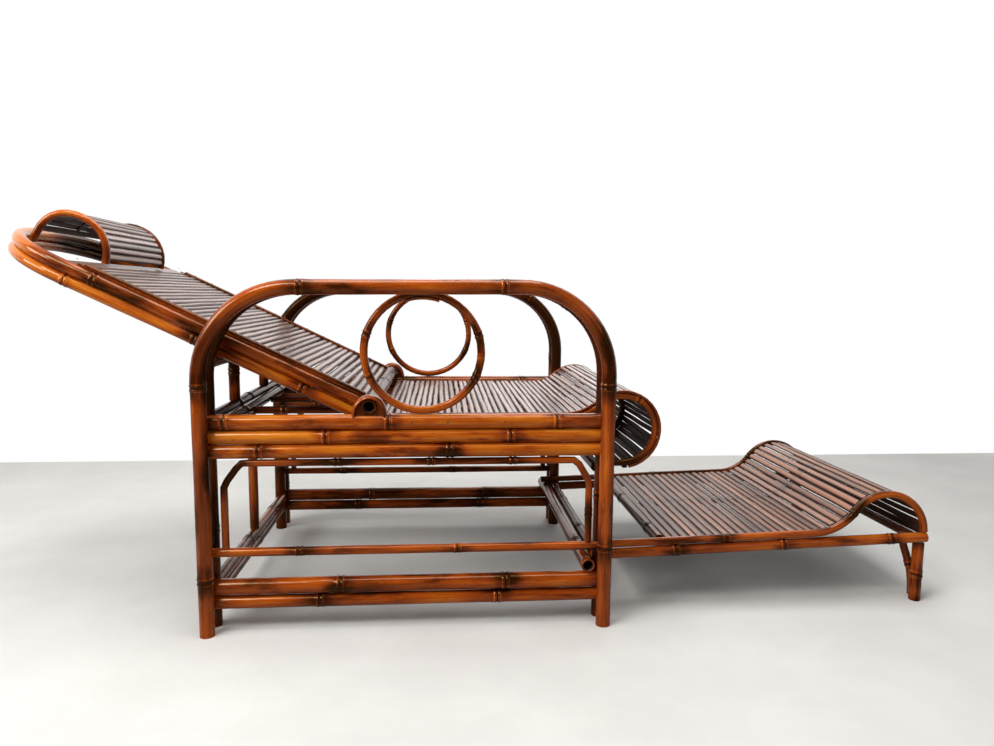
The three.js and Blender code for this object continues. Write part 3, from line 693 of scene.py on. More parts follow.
def rings_mesh(name, points, count, looped=False):
    """A closed mesh over rings of count points each, with flat ends unless the last ring meets the first."""
    rows = len(points) // count
    faces = []
    for i in range(rows if looped else rows - 1):
        this, after = i * count, (i + 1) % rows * count
        for k in range(count):
            turn = (k + 1) % count
            faces.append((this + k, this + turn, after + turn, after + k))
    if not looped:
        faces.append(tuple(range(count - 1, -1, -1)))
        faces.append(tuple(range((rows - 1) * count, rows * count)))
    mesh = bpy.data.meshes.new(name)
    mesh.from_pydata([tuple(p) for p in points], [], faces)
    mesh.validate()
    corners = np.array([v.co for v in mesh.vertices])
    volume = 0.0
    for polygon in mesh.polygons:
        first, *rest = corners[list(polygon.vertices)]
        for a, b in zip(rest, rest[1:]):
            volume += float(np.dot(first, np.cross(a, b)))
    if volume < 0:
        mesh.flip_normals()
    mesh.shade_smooth()
    return mesh


def knot_profile():
    """A node's height at offsets along the pole: two ridges with a groove between them."""
    canes = sizes("canes")
    offsets = (-3.2, -2.2, -1.45, -1.12, -0.95, -0.75, -0.4, 0.0, 0.4, 0.75, 0.95, 1.15, 1.5, 2.3, 3.4)
    heights = (0.0, 0.16, 0.42, 0.9, 1.0, 0.72, 0.30, 0.22, 0.32, 0.7, 0.9, 0.78, 0.40, 0.18, 0.0)
    return [o * canes.ridge_spread for o in offsets], [h * canes.ridge_rise for h in heights]


def cane_line(name, line, radius, knots=(), burns_and_painted_light=(), closed=False, ends=()):
    """A mesh line whose points carry the radius, the distance to the nearest node, the length and the burn
    marks, which include painted shade and painted highlight.

    Knots are shares of the length. Burns are (share, half share, strength); above zero they darken, as scorch
    marks and as painted shade; below zero they lighten, as painted highlight.
    Ends are (length, radius), where a tongue begins.
    """
    cut, closest = 1e-4, 4e-5
    if closed:
        line = np.vstack([line, line[:1]])
    lengths = lengths_of(line)
    total = lengths[-1]
    seed = sum(ord(letter) * (i + 3) for i, letter in enumerate(name))
    offsets, heights = knot_profile()
    centres = [share * total for share in knots]
    places = list(np.linspace(0.0, total, max(int(total / sizes("canes").step), 8) + 1))
    places += [centre + offset for centre in centres for offset in offsets]
    places += [p for s, _ in ends for p in (s, s + cut) if 0 < s < total]
    places = np.array(sorted(p for p in places if 0.0 <= p <= total))
    places = places[np.concatenate([[True], np.diff(places) > closest])]
    if closed:
        places = places[:-1]
    sway = sum(rise * np.sin(places * waves + seed * turn) for rise, waves, turn in SWAYS)
    radii = radius * (1.0 + sway)
    distance = np.full(len(places), NO_KNOT)
    for centre in centres:
        gap = places - centre
        distance = np.minimum(distance, np.abs(gap))
        radii = radii + np.interp(gap, offsets, heights)
    for s, narrow in ends:
        radii = np.where(places < s + cut / 2 if s < total / 2 else places > s + cut / 2, narrow, radii)
    # Burn marks darken the lacquer as scorch and as painted shade; negative ones paint highlight.
    scorch = np.zeros(len(places))
    for share, half, strength in burns_and_painted_light:
        fade = np.clip(1.0 - np.abs(places / total - share) / half, 0.0, 1.0)
        mark_strength = strength * fade * fade * (3 - 2 * fade)
        scorch = np.where(np.abs(mark_strength) > np.abs(scorch), mark_strength, scorch)
    mesh = line_mesh(name, point_at(line, lengths, places), closed)
    store(mesh, "radius", radii)
    store(mesh, "knot", distance)
    store(mesh, "along", places + (seed % POLE_PATTERNS) * POLE_PATTERN)
    store(mesh, "burn", scorch)
    return mesh


# Pieces in place of CAD nodes

def grow_pole(name, mesh, tone, sides, wrap):
    inputs = {"Sides": sides, "Wrap radius": wrap, "Tone": tone, "Material": kit("lacquer")}
    return grow(name, mesh, kit("cane_tree"), inputs)


def cane(node, line, radius, tone, knots=(), burns_and_painted_light=(), closed=False, ends=()):
    """One pole in place of a CAD node."""
    canes = sizes("canes")
    mesh = cane_line(node, line, radius, knots, burns_and_painted_light, closed, ends)
    return hand_over(grow_pole(node + "_cane", mesh, tone, canes.round_sides, canes.wrap), node)


def edging(node, side, line, radius, tone):
    """A thin cane along the slats' ends, as part of a deck."""
    name = f"{node}_{side}_edge"
    return hand_over(grow_pole(name, cane_line(name, line, radius), tone, sides=10, wrap=0.006), node)


def solid_piece(node, mesh, materials, sharp=40, **marks):
    """A mesh as a piece of a node, with its materials, marks for them, and edges sharp from an angle."""
    for name, values in marks.items():
        store(mesh, name, values)
    for material in materials:
        mesh.materials.append(kit(material))
    mesh.set_sharp_from_angle(angle=math.radians(sharp))
    return hand_over(add_object(mesh.name, mesh), node)


def half_round(width, thick, steps=8):
    """A split cane's outline, flat below and round above."""
    angles = np.linspace(0.0, math.pi, steps + 1)
    return [(width / 2 * math.cos(a), thick * math.sin(a) ** 0.8) for a in angles]


def split_cane(node, part, line, outline, material, normal=(0.0, 1.0, 0.0), **marks):
    """A strip with a flat outline swept along a line, as part of a node.

    The outline's points are (over, up), where over lies along the normal. Marks are numbers for its finish.
    """
    over = np.array(normal)
    up = unit(np.cross(unit(np.gradient(line, axis=0)), over))
    points = [p + over * a + u * b for p, u in zip(line, up) for a, b in outline]
    mesh = rings_mesh(f"{node}_{part}", points, len(outline))
    grain = [(a + GRAIN_START, length, b) for length in lengths_of(line) for a, b in outline]
    wrapped = [(a, b, length) for length in lengths_of(line) for a, b in outline]
    return solid_piece(node, mesh, [material], grain=grain, cane=wrapped, knot=NO_KNOT, **marks)


def hollow_tube(node, centre, radius, tone, knots):
    """A straight tube across the object with an open bore at each end."""
    canes = sizes("canes")
    sides = canes.round_sides
    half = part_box(node)[1].y
    offsets, heights = knot_profile()
    centres = [(2 * share - 1) * half for share in knots]
    stations = list(np.linspace(-half, half, 40))
    stations += [centre + offset for centre in centres for offset in offsets]
    rings = []
    for y in sorted(stations):
        gap = min((y - centre for centre in centres), key=abs)
        rings.append((y, radius + float(np.interp(gap, offsets, heights)), abs(gap), False))
    lip = 0.0012
    rings[0] = (-half + lip, radius, NO_KNOT, False)
    rings[-1] = (half - lip, radius, NO_KNOT, False)
    inner = [
        (half, radius - lip, NO_KNOT, False),
        (half, TUBE_BORE + lip, NO_KNOT, False),
        (half - lip, TUBE_BORE, NO_KNOT, True),
        (half - BORE_DEPTH, TUBE_BORE, NO_KNOT, True),
    ]
    rings = [(-y, *rest) for y, *rest in reversed(inner)] + rings + inner
    turns = [(math.cos(a), math.sin(a)) for a in (2 * math.pi * k / sides for k in range(sides))]
    points = [(centre.x + r * c, y, centre.z + r * s) for y, r, _, _ in rings for c, s in turns]
    mesh = rings_mesh(node + "_cane", points, sides)
    # Faces inside the bore take the near-black finish: painted shade in the hole.
    in_bore = [int(a[3] and b[3]) for a, b in zip(rings, rings[1:]) for _ in turns]
    mesh.polygons.foreach_set("material_index", in_bore + [1, 1])
    wrapped = [(canes.wrap * c, canes.wrap * s, y + TUBE_PATTERN) for y, _, _, _ in rings for c, s in turns]
    gaps = [gap for _, _, gap, _ in rings for _ in turns]
    return solid_piece(node, mesh, ["lacquer", "bore"], 50, cane=wrapped, tone=tone, knot=gaps)


SLAT_OUTLINE = [
    (-0.5, 0.12), (-0.46, 0.55), (-0.34, 0.86), (-0.12, 1.0), (0.12, 1.0),
    (0.34, 0.86), (0.46, 0.55), (0.5, 0.12), (0.44, 0.0), (-0.44, 0.0),
]


def slat_blank(width, half, thick, sections=18):
    """One straight slat lying along Y, gently rounded on top, with ends that are cut a little askew."""
    askew = 0.0012
    points = []
    for y in np.linspace(-half, half, sections):
        points += [(a * width, y + a * askew, b * thick) for a, b in SLAT_OUTLINE]
    mesh = rings_mesh("slat_blank", points, len(SLAT_OUTLINE))
    store(mesh, "local", points)
    # edge is one on the underside and grows towards the sides: where the finish paints shade.
    store(mesh, "edge", [1.0 if b < 0.2 else abs(a) * 2 for a, b in SLAT_OUTLINE] * sections)
    return add_object("slat_blank", mesh)


def lay_slats(kind, line, half, seed, material):
    """A deck of slats across a line, in place of a CAD deck."""
    slats = sizes("slats")
    pitch = getattr(slats, kind + "_pitch")
    width = getattr(slats, kind + "_width")
    node = kind + "_slats"
    blank = slat_blank(width, half, slats.thickness)
    inputs = {
        "Slat": blank, "Count": int((lengths_of(line)[-1] - width) / pitch) + 1, "Spread": 0.09,
        "Waver": slats.waver, "Seed": seed, "Material": kit(material),
    }
    piece = grow(node + "_boards", line_mesh(node, trim(line, width / 2)), kit("slat_tree"), inputs)
    bpy.data.objects.remove(blank)
    return hand_over(piece, node)


def lay_rib(node, line, width, thick=RIB_THICK, drop=RIB_DROP):
    """The strip under a deck that its slats are nailed to."""
    half = width / 2
    outline = [(-half, -drop), (half, -drop), (half, -drop - thick), (-half, -drop - thick)]
    return split_cane(node, "rib", line, outline, "rib")


def nail_heads(name, places, body):
    """Nail heads at (point, facing) places on one body."""
    mesh = line_mesh(name, np.array([point for point, _ in places]))
    store(mesh, "facing", [facing for _, facing in places])
    radius, rise, sink, sides = 0.0019, 0.0007, 0.0004, 10
    rings = [(radius, -sink), (radius, rise * 0.4), (radius * 0.6, rise)]
    turns = [2 * math.pi * k / sides for k in range(sides)]
    points = [(r * math.cos(a), r * math.sin(a), z) for r, z in rings for a in turns]
    blank = add_object("nail_blank", rings_mesh("nail_blank", points, sides))
    piece = grow(name, mesh, kit("nail_tree"), {"Nail": blank, "Seed": 4, "Material": kit("nail")})
    bpy.data.objects.remove(blank)
    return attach(piece, body)


# Places worked out from the frame

def leg_places():
    length = sizes("side").length
    centre = middle("guide_rail_near").x
    return centre - length / 2, centre + length / 2


def hoop_line():
    side = sizes("side")
    rear, front = leg_places()
    rear_centre = (rear + side.rear_corner, side.arm_height - side.rear_drop - side.rear_corner)
    front_centre = (front - side.front_corner, side.arm_height - side.front_corner)
    rear_bend = arc(rear_centre, side.rear_corner, math.pi, math.pi / 2)
    front_bend = arc(front_centre, side.front_corner, math.pi / 2, 0.0)
    return line_of((rear, 0.0), rear_bend, front_bend, (front, 0.0))


def turned(points, angle, origin):
    turn = Matrix.Rotation(angle, 3, "Y")
    return np.array([tuple(turn @ Vector(p) + origin) for p in points])


def in_back(points):
    """From the backrest's own frame, whose x is negative towards the head, to the shared frame."""
    return turned(points, sizes("back").recline, PIVOT)


def in_foot(points):
    """From the footrest's own frame, which starts at the roller, to the shared frame."""
    return turned(points, -sizes("foot").tilt, middle("foot_roller"))


def rise_over(flat_z, dip, roll_x, roll_z, roll):
    """The dip between a flat line and a roll: its centre, and the angle where dip and roll meet."""
    height = flat_z + dip - roll_z
    run = math.sqrt((dip + roll) ** 2 - height**2)
    return (roll_x - run, flat_z + dip), math.atan2(run, height)


def wave(flat_z, dip, roll_x, roll_z, roll, end, steps):
    """A line that dips from a flat one and rises over a roll, as far round it as the end angle."""
    centre, angle = rise_over(flat_z, dip, roll_x, roll_z, roll)
    hollow = arc(centre, dip, -math.pi / 2, angle - math.pi / 2, 20)
    return line_of(hollow, arc((roll_x, roll_z), roll, math.pi / 2 + angle, end, steps)[1:])


def seat_line():
    seat = sizes("seat")
    roll_x = leg_places()[1] + seat.overhang
    curl = wave(seat.rim_height, seat.dip, roll_x, seat.roll_height, seat.roll, -math.pi / 2, 60)
    return line_of((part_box("seat_rim_near")[0].x, seat.rim_height), curl)


def back_levels():
    """In the backrest's frame: the underside of its slats, and how far up the slats reach."""
    back = sizes("back")
    return -back.upper_drop + back.upper + POLE_GAP, back.bend_start + HEAD_REACH - HEAD_BAR


def foot_rim_height():
    """The footrest's rims above the roller's axis."""
    return ROLLER_RADIUS + CLEARANCE + sizes("foot").rim


def foot_curve():
    foot = sizes("foot")
    rim_z = foot_rim_height()
    return wave(rim_z, foot.dip, foot.rail_end - foot.crest_back, rim_z - foot.rim, foot.crest, 0.0, 44)


class ReclinerOperator:
    bl_options = {"REGISTER", "UNDO"}


class RECLINER_OT_finishes(ReclinerOperator, bpy.types.Operator):
    """Mix the lacquers and build the node trees"""

    bl_idname = "recliner.finishes"
    bl_label = "Finishes"

    def execute(self, context):
        colours = context.scene.recliner_finish
        context.scene["recliner_kit"] = {
            "lacquer": cane_lacquer(colours),
            # Each slat finish: pale colour, shift, where the painted shade on slat edges begins, gloss.
            "seat_slat": slat_finish("seat_slat_lacquer", colours, colours.slat_pale_and_sheen, 0.16, 0.40, 0.9),
            "back_slat": slat_finish("back_slat_lacquer", colours, colours.slat_pale_and_sheen, 0.14, 0.26, 0.8),
            "foot_slat": slat_finish("foot_slat_lacquer", colours, colours.slat_brown, 0.06, 0.42, 0.35),
            "rib": plain_finish("rib_cane", (0.020, 0.009, 0.006), (0.07, 0.03, 0.017), 0.45),
            # The bore's near-black wall is painted shade inside the hole.
            "bore": plain_finish("bore_wall", (0.006, 0.004, 0.003), (0.03, 0.014, 0.008), 0.7),
            "nail": plain_finish("nail_iron", (0.03, 0.025, 0.022), (0.12, 0.10, 0.09), 0.35, 0.8),
            "cane_tree": cane_tree(),
            "slat_tree": slat_tree(),
            "nail_tree": nail_tree(),
        }
        return {"FINISHED"}


class RECLINER_OT_hoops(ReclinerOperator, bpy.types.Operator):
    """Bend the outer and inner hoop poles that make the legs and arms"""

    bl_idname = "recliner.hoops"
    bl_label = "Hoops"

    # How much darker, places of nodes, burns
    HOOPS = {
        "outer": (0.0, (0.056, 0.245, 0.398, 0.591, 0.755, 0.918), [
            (0.12, 0.16, 0.24), (0.27, 0.06, 0.5), (0.72, 0.05, 0.25), (0.06, 0.03, 0.5), (0.90, 0.12, -0.12),
        ]),
        "inner": (0.24, (0.10, 0.30, 0.66, 0.87), [(0.3, 0.1, 0.3), (0.75, 0.1, 0.4)]),
    }

    def execute(self, context):
        flat = hoop_line()
        # The far side's lower tone is painted shade.
        for side, tone in {"near": 0.54, "far": 0.42}.items():
            for name, (darker, knots, burns_and_painted_light) in self.HOOPS.items():
                node = f"hoop_{name}_{side}"
                line = upright(flat, middle(node).y)
                cane(node, line, sizes("side").pole, tone - darker, knots, burns_and_painted_light)
        return {"FINISHED"}


class RECLINER_OT_rails(ReclinerOperator, bpy.types.Operator):
    """Fit the side rails, guide rails and base rails between the legs"""

    bl_idname = "recliner.rails"
    bl_label = "Side rails"

    # Radius, places of nodes, tone, burns
    RAILS = {
        "top_rail": (0.0140, (0.061, 0.451, 0.865), 0.70, [
            (0.0, 0.10, 0.8), (0.45, 0.05, 0.4), (0.95, 0.12, 0.5),
        ]),
        "side_rail_upper": (0.0129, (0.30, 0.75), 0.80, [(0.0, 0.05, 0.6), (0.30, 0.04, 0.3)]),
        "side_rail_lower": (0.0131, (0.14, 0.60), 0.76, [(0.0, 0.05, 0.6), (0.60, 0.05, 0.3)]),
        "base_rail_upper": (0.0149, (0.33, 0.74), 0.57, [
            (0.38, 0.10, 0.4), (1.0, 0.08, 0.7), (0.0, 0.05, 0.5),
        ]),
        "base_rail_lower": (0.0125, (0.28, 0.72), 0.60, [(0.26, 0.08, 0.5), (0.70, 0.10, 0.4)]),
        "guide_rail": (0.0082, (0.23, 0.62), 0.60, [(0.25, 0.06, 0.5), (0.97, 0.08, 0.6)]),
    }
    PAST_LEG = 0.009

    def execute(self, context):
        side_sizes = sizes("side")
        reach = side_sizes.shoulder + self.PAST_LEG
        # fade darkens the far side's rails: painted shade.
        for side, fade in {"near": 0.0, "far": -0.20}.items():
            for name, (radius, knots, tone, burns_and_painted_light) in self.RAILS.items():
                node = f"{name}_{side}"
                line = straight_node(node, 0)
                places = () if name == "guide_rail" else (reach, lengths_of(line)[-1] - reach)
                ends = [(place, side_sizes.tongue) for place in places]
                cane(node, line, radius, tone + fade, knots, burns_and_painted_light, ends=ends)
        return {"FINISHED"}


class RECLINER_OT_brackets(ReclinerOperator, bpy.types.Operator):
    """Bend the thin bracket frames with their short posts"""

    bl_idname = "recliner.brackets"
    bl_label = "Bracket frames"

    REAR_POST, REAR_BEND = 0.022, 0.052
    FRONT_POST, FRONT_BEND = 0.019, 0.044
    CORNER = 0.006

    def execute(self, context):
        rod = sizes("side").bracket_rod
        # The far side's lower tone is painted shade.
        for side, tone in {"near": 0.56, "far": 0.30}.items():
            node = f"bracket_frame_{side}"
            low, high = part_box(node)
            top = high.z - rod
            shoulder = top - sizes("side").bracket_drop
            flat = np.array([
                (low.x + self.REAR_POST, low.z),
                (low.x + self.REAR_POST, shoulder),
                (low.x + self.REAR_BEND, top),
                (high.x - self.FRONT_BEND, top),
                (high.x - self.FRONT_POST, shoulder),
                (high.x - self.FRONT_POST, low.z),
            ])
            line = upright(rounded(flat, self.CORNER), (low.y + high.y) / 2)
            cane(node, line, rod, tone, (0.36, 0.54, 0.70, 0.94), [(0.15, 0.07, 1.5), (0.86, 0.05, 0.3)])
        return {"FINISHED"}


class RECLINER_OT_rings(ReclinerOperator, bpy.types.Operator):
    """Bend the rings under the arms and the straps over the pivot tube"""

    bl_idname = "recliner.rings"
    bl_label = "Rings and straps"

    KNOTS = (0.05, 0.45, 0.57, 0.93)
    BURNS = [(0.25, 0.10, 0.5), (0.62, 0.08, 0.4), (0.93, 0.07, 0.5)]
    LAP_WIDTH, LAP_THICK = 0.0125, 0.0042
    STRAP_WIDTH, STRAP_THICK, STRAP_SPREAD = 0.0245, 0.0062, 0.0025
    STRAP_FOOT = 0.004
    COLLAR_FOOT, COLLAR_NECK, COLLAR_INSET = 0.396, 0.012, 0.005
    COLLAR_BORE = 0.0148

    def execute(self, context):
        bend, rod = sizes("side").ring_bend, sizes("side").ring_rod
        lap_shape = half_round(self.LAP_WIDTH, self.LAP_THICK)
        # The far side's lower tone is painted shade.
        for side, tone in {"near": 0.60, "far": 0.50}.items():
            node = f"arm_ring_{side}"
            centre = middle(node)
            circle = arc((centre.x, centre.z), bend, 0.0, 2 * math.pi, 96)[:-1]
            cane(node, upright(circle, centre.y), rod, tone, self.KNOTS, self.BURNS, closed=True)
            lap = arc((centre.x, centre.z), bend - rod, math.radians(72), math.radians(108), 24)
            split_cane(node, "lap", upright(lap, centre.y), lap_shape, "lacquer", tone=tone - 0.05)
            self.strap(side)
        return {"FINISHED"}

    def strap(self, side):
        node = f"pivot_strap_{side}"
        low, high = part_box(node)
        centre = (low + high) / 2
        thick = self.STRAP_THICK
        crown = middle(f"top_rail_{side}").z + RAIL_HALF
        half = (high.x - low.x) / 2 - thick + self.STRAP_SPREAD
        arch = bow((centre.x, crown), half, high.z - thick - crown, math.pi, 0.0, 28)
        rear, front = centre.x - half, centre.x + half
        foot_z = low.z + self.STRAP_FOOT
        line = upright(line_of((rear, foot_z), arch, (front, foot_z)), centre.y)
        split_cane(node, "bent", line, half_round(self.STRAP_WIDTH, thick), "lacquer", tone=0.46)
        neck = self.COLLAR_NECK
        foot = [(x, self.COLLAR_FOOT) for x in (front, centre.x + neck, centre.x - neck, rear)]
        self.collar(node, line_of(arch, foot), low.y + self.COLLAR_INSET, high.y - self.COLLAR_INSET)

    def collar(self, node, outline, near_y, far_y):
        """The block under a strap, bored for the pivot tube."""
        pivot = np.array((PIVOT.x, PIVOT.z))
        bore = unit(outline - pivot) * self.COLLAR_BORE + pivot
        rings = [(outline, near_y), (bore, near_y), (bore, far_y), (outline, far_y)]
        points = [(x, y, z) for flat, y in rings for x, z in flat]
        mesh = rings_mesh(f"{node}_collar", points, len(outline), looped=True)
        wrapped = [(x - PIVOT.x, y, z - PIVOT.z) for x, y, z in points]
        # The collar's dark tone of 0.20 is painted shade under the strap.
        solid_piece(node, mesh, ["lacquer"], cane=wrapped, knot=NO_KNOT, tone=0.20)


class RECLINER_OT_cross_poles(ReclinerOperator, bpy.types.Operator):
    """Fit the rear frame, the front cross rail and the seat bearers"""

    bl_idname = "recliner.cross_poles"
    bl_label = "Cross poles"

    # Radius, tone, places of nodes, burns
    POLES = {
        "rear_top_rail": (0.012, 0.46, (0.22, 0.65), [(0.1, 0.2, 0.6)]),
        "rear_seat_rail": (0.012, 0.16, (0.30, 0.46), [(0.3, 0.3, 0.5)]),
        "rear_base_rail_upper": (0.011, 0.42, (0.40, 0.80), []),
        "rear_base_rail_lower": (0.009, 0.36, (0.55,), []),
        "front_cross_rail": (0.010, 0.14, (0.5,), []),
        "rear_bearer": (0.011, 0.12, (0.18, 0.7), []),
        "seat_bearer_1": (0.010, 0.20, (0.35, 0.8), []),
        "seat_bearer_2": (0.010, 0.20, (0.2, 0.6), []),
    }
    # Radius, tone
    POSTS = {
        "rear_post_near": (0.0105, 0.52),
        # The far post's lower tone is painted shade.
        "rear_post_far": (0.0105, 0.40),
        "rear_lower_post": (0.010, 0.56),
    }
    POST_SEAT = 0.002

    def execute(self, context):
        for node, (radius, tone, knots, burns_and_painted_light) in self.POLES.items():
            cane(node, straight_node(node, 1), radius, tone, knots, burns_and_painted_light)
        for node, (radius, tone) in self.POSTS.items():
            line = straight_node(node, 2) + np.array([(0, 0, -self.POST_SEAT), (0, 0, self.POST_SEAT)])
            cane(node, line, radius, tone, (0.72,), [(0.0, 0.3, 0.5), (1.0, 0.2, 0.5)])
        return {"FINISHED"}


class RECLINER_OT_seat(ReclinerOperator, bpy.types.Operator):
    """Bend the seat rims and lay the seat's slats"""

    bl_idname = "recliner.seat"
    bl_label = "Seat"

    EDGE_ROD, EDGE_LIFT = 0.0029, 0.0022
    SLAT_INSET = 0.0035
    RUNNER_THICKER = 0.0012

    def execute(self, context):
        seat = sizes("seat")
        flat = seat_line()
        tail = (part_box("front_cross_rail")[1].x, seat.roll_height - seat.roll)
        burns_and_painted_light = [(0.93, 0.1, 0.6), (0.75, 0.06, 0.4)]
        # The far side's lower tone is painted shade.
        for side, tone in {"near": 0.56, "far": 0.34}.items():
            node = f"seat_rim_{side}"
            rim = upright(line_of(flat, tail), middle(node).y)
            cane(node, rim, seat.rim, tone, (0.20, 0.46, 0.70), burns_and_painted_light)
            node = f"seat_runner_{side}"
            runner_radius = seat.rim + self.RUNNER_THICKER
            # The burn at the runner's rear end is painted shadow under the backrest.
            cane(node, straight_node(node, 0), runner_radius, 0.42, (0.1, 0.5, 0.8), [(0.0, 0.12, 0.7)])
        low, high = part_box("seat_slats")
        runner = upright(line_of((low.x, seat.rim_height), flat), 0.0)
        # The burn at the rear end is painted shadow under the backrest.
        cane("seat_slats", runner, seat.rim, 0.38, (0.1, 0.4, 0.7), [(0.0, 0.1, 0.7), (0.9, 0.2, 0.4)])
        edge = raised(flat[:-3], seat.rim + self.EDGE_LIFT)
        # The far side's lower tone is painted shade.
        for side, tone in {"near": 0.50, "far": 0.34}.items():
            y = SIDES[side] * (high.y - self.EDGE_ROD)
            edging("seat_slats", side, upright(edge, y), self.EDGE_ROD, tone)
        lay_slats("seat", upright(raised(flat, seat.rim), 0.0), high.y - self.SLAT_INSET, 11, "seat_slat")
        return {"FINISHED"}


class RECLINER_OT_backrest(ReclinerOperator, bpy.types.Operator):
    """Bend the backrest hoops, lay its slats and lay the battens"""

    bl_idname = "recliner.backrest"
    bl_label = "Backrest"

    TUBE_RADIUS = 0.0145
    # The negative burns at 0.43 paint a highlight on the head bend; the burns at 0.565 and 0.80 darken the
    # far half as painted shade.
    UPPER_KNOTS = (0.287, 0.83)
    UPPER_BURNS_AND_PAINTED_LIGHT = [
        (0.25, 0.04, 0.25), (0.16, 0.07, 0.6), (0.33, 0.025, 0.3), (0.565, 0.085, 1.3), (0.80, 0.26, 0.5),
        (0.43, 0.10, -0.60),
    ]
    LOWER_KNOTS = (0.059, 0.175, 0.31, 0.72)
    LOWER_BURNS_AND_PAINTED_LIGHT = [(0.16, 0.05, 0.4), (0.43, 0.10, -0.60), (0.565, 0.085, 1.3), (0.80, 0.26, 0.5)]
    UPPER_START, UPPER_THICKER = 0.012, 0.0007
    LOWER_START, LOWER_THICKER = 0.020, 0.0008
    SLATS_START, SLATS_SHORT, HALFWAY = -0.0152, 0.0015, -0.3
    BATTEN_START, BATTEN_SHORT, BATTEN_WIDTH = -0.017, 0.012, 0.012
    EDGE_ROD, EDGE_LIFT, EDGE_INSET, EDGE_START = 0.0030, 0.0012, 0.0024, -0.0175
    RIB_WIDTH, BAR_THICK = 0.014, 0.0044

    def hoop(self, start, z):
        back = sizes("back")
        half = back.half_width
        centre = (-back.bend_start, 0.0)
        bend = bow(centre, -back.bend_length, half, -math.pi / 2, math.pi / 2, 80, back.bend_power)
        return in_back([(x, y, z) for x, y in line_of((-start, -half), bend, (-start, half))])

    def execute(self, context):
        back = sizes("back")
        hollow_tube("back_tube", PIVOT, self.TUBE_RADIUS, 0.16, (0.52,))
        upper = self.hoop(self.UPPER_START, -back.upper_drop)
        lower = self.hoop(self.LOWER_START, -back.upper_drop - back.upper - POLE_GAP - back.lower)
        upper_radius = back.upper + self.UPPER_THICKER
        lower_radius = back.lower + self.LOWER_THICKER
        cane("back_hoop_upper", upper, upper_radius, 0.66, self.UPPER_KNOTS, self.UPPER_BURNS_AND_PAINTED_LIGHT)
        cane("back_hoop_lower", lower, lower_radius, 0.72, self.LOWER_KNOTS, self.LOWER_BURNS_AND_PAINTED_LIGHT)
        self.deck()
        slat_z, reach = back_levels()
        batten_z = slat_z + sizes("slats").thickness
        outline = half_round(self.BATTEN_WIDTH, BATTEN_HEIGHT)
        places = (self.BATTEN_SHORT - reach, self.HALFWAY, self.BATTEN_START)
        for side, sign in SIDES.items():
            line = in_back([(x, sign * BATTEN_Y, batten_z) for x in places])
            split_cane(f"back_batten_{side}", "split", line, outline, "lacquer", tone=0.25)
        return {"FINISHED"}

    def deck(self):
        """The slats, the thin canes along their ends, their rib and the bar at the head."""
        node = "back_slats"
        slat_z, reach = back_levels()
        head_end = reach + HEAD_BAR
        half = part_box(node)[1].y
        deck = in_back([(x, 0.0, slat_z) for x in (self.SLATS_SHORT - reach, self.SLATS_START)])
        lay_slats("back", deck, half, 23, "back_slat")
        # The far side's lower tone is painted shade.
        for side, tone in {"near": 0.44, "far": 0.30}.items():
            y = SIDES[side] * (half - self.EDGE_INSET)
            line = in_back([(x, y, slat_z + self.EDGE_LIFT) for x in (-reach, self.EDGE_START)])
            edging(node, side, line, self.EDGE_ROD, tone)
        rib = in_back([(x, 0.0, slat_z) for x in (-head_end, self.HALFWAY, self.SLATS_START)])
        lay_rib(node, rib, self.RIB_WIDTH)
        bar = in_back([(HEAD_BAR / 2 - head_end, y, slat_z) for y in (-half, half)])
        lean = in_back([(1, 0, 0)])[0] - np.array(PIVOT)
        outline = half_round(HEAD_BAR, self.BAR_THICK)
        split_cane(node, "head_bar", bar, outline, "back_slat", lean, shade=0.45)


class RECLINER_OT_headrest(ReclinerOperator, bpy.types.Operator):
    """Bend the headrest rods and lay its slats"""

    bl_idname = "recliner.headrest"
    bl_label = "Headrest"

    HEAD_SIDE_POWER, LOWERED, LAST_ANGLE = 2.35, 0.0027, 0.24
    ROD_HEAD_Z, ROD_FOOT_RISE = -0.008, 0.005
    SLATS_FOOT_DROP, SLATS_MARGIN = 0.004, 0.011
    RIB_MARGIN, RIB_WIDTH, RIB_THICK = 0.012, 0.010, 0.0025

    def execute(self, context):
        back = sizes("back")
        slat_z, reach = back_levels()
        top = slat_z + sizes("slats").thickness
        mid = reach + back.arch_rod + back.arch_half
        oval = ((-mid, 0.0), back.arch_half, back.arch_height - self.LOWERED)
        head_half = bow(*oval, math.pi, math.pi / 2, 30, self.HEAD_SIDE_POWER)
        arch = line_of(head_half, bow(*oval, math.pi / 2, self.LAST_ANGLE, 30)[1:])
        foot_x = -mid + back.arch_half
        head = (-mid - back.arch_half, self.ROD_HEAD_Z)
        rod = line_of(head, arch, (foot_x, top + self.ROD_FOOT_RISE), (foot_x, top))
        # The far side's lower tone is painted shade.
        for side, tone in {"near": 0.62, "far": 0.30}.items():
            line = in_back([(x, SIDES[side] * back.arch_y, z) for x, z in rod])
            cane(f"headrest_rod_{side}", line, back.arch_rod, tone, (), [(0.1, 0.15, 0.5), (0.9, 0.15, 0.4)])
        covered = trim(line_of(arch, (foot_x, top - self.SLATS_FOOT_DROP)), self.SLATS_MARGIN)
        deck = in_back([(x, 0.0, z) for x, z in covered])
        lay_slats("headrest", deck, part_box("headrest_slats")[1].y, 31, "back_slat")
        rib = trim(deck, self.RIB_MARGIN)[::2]
        lay_rib("headrest_slats", rib, self.RIB_WIDTH, self.RIB_THICK, drop=0.0)
        return {"FINISHED"}


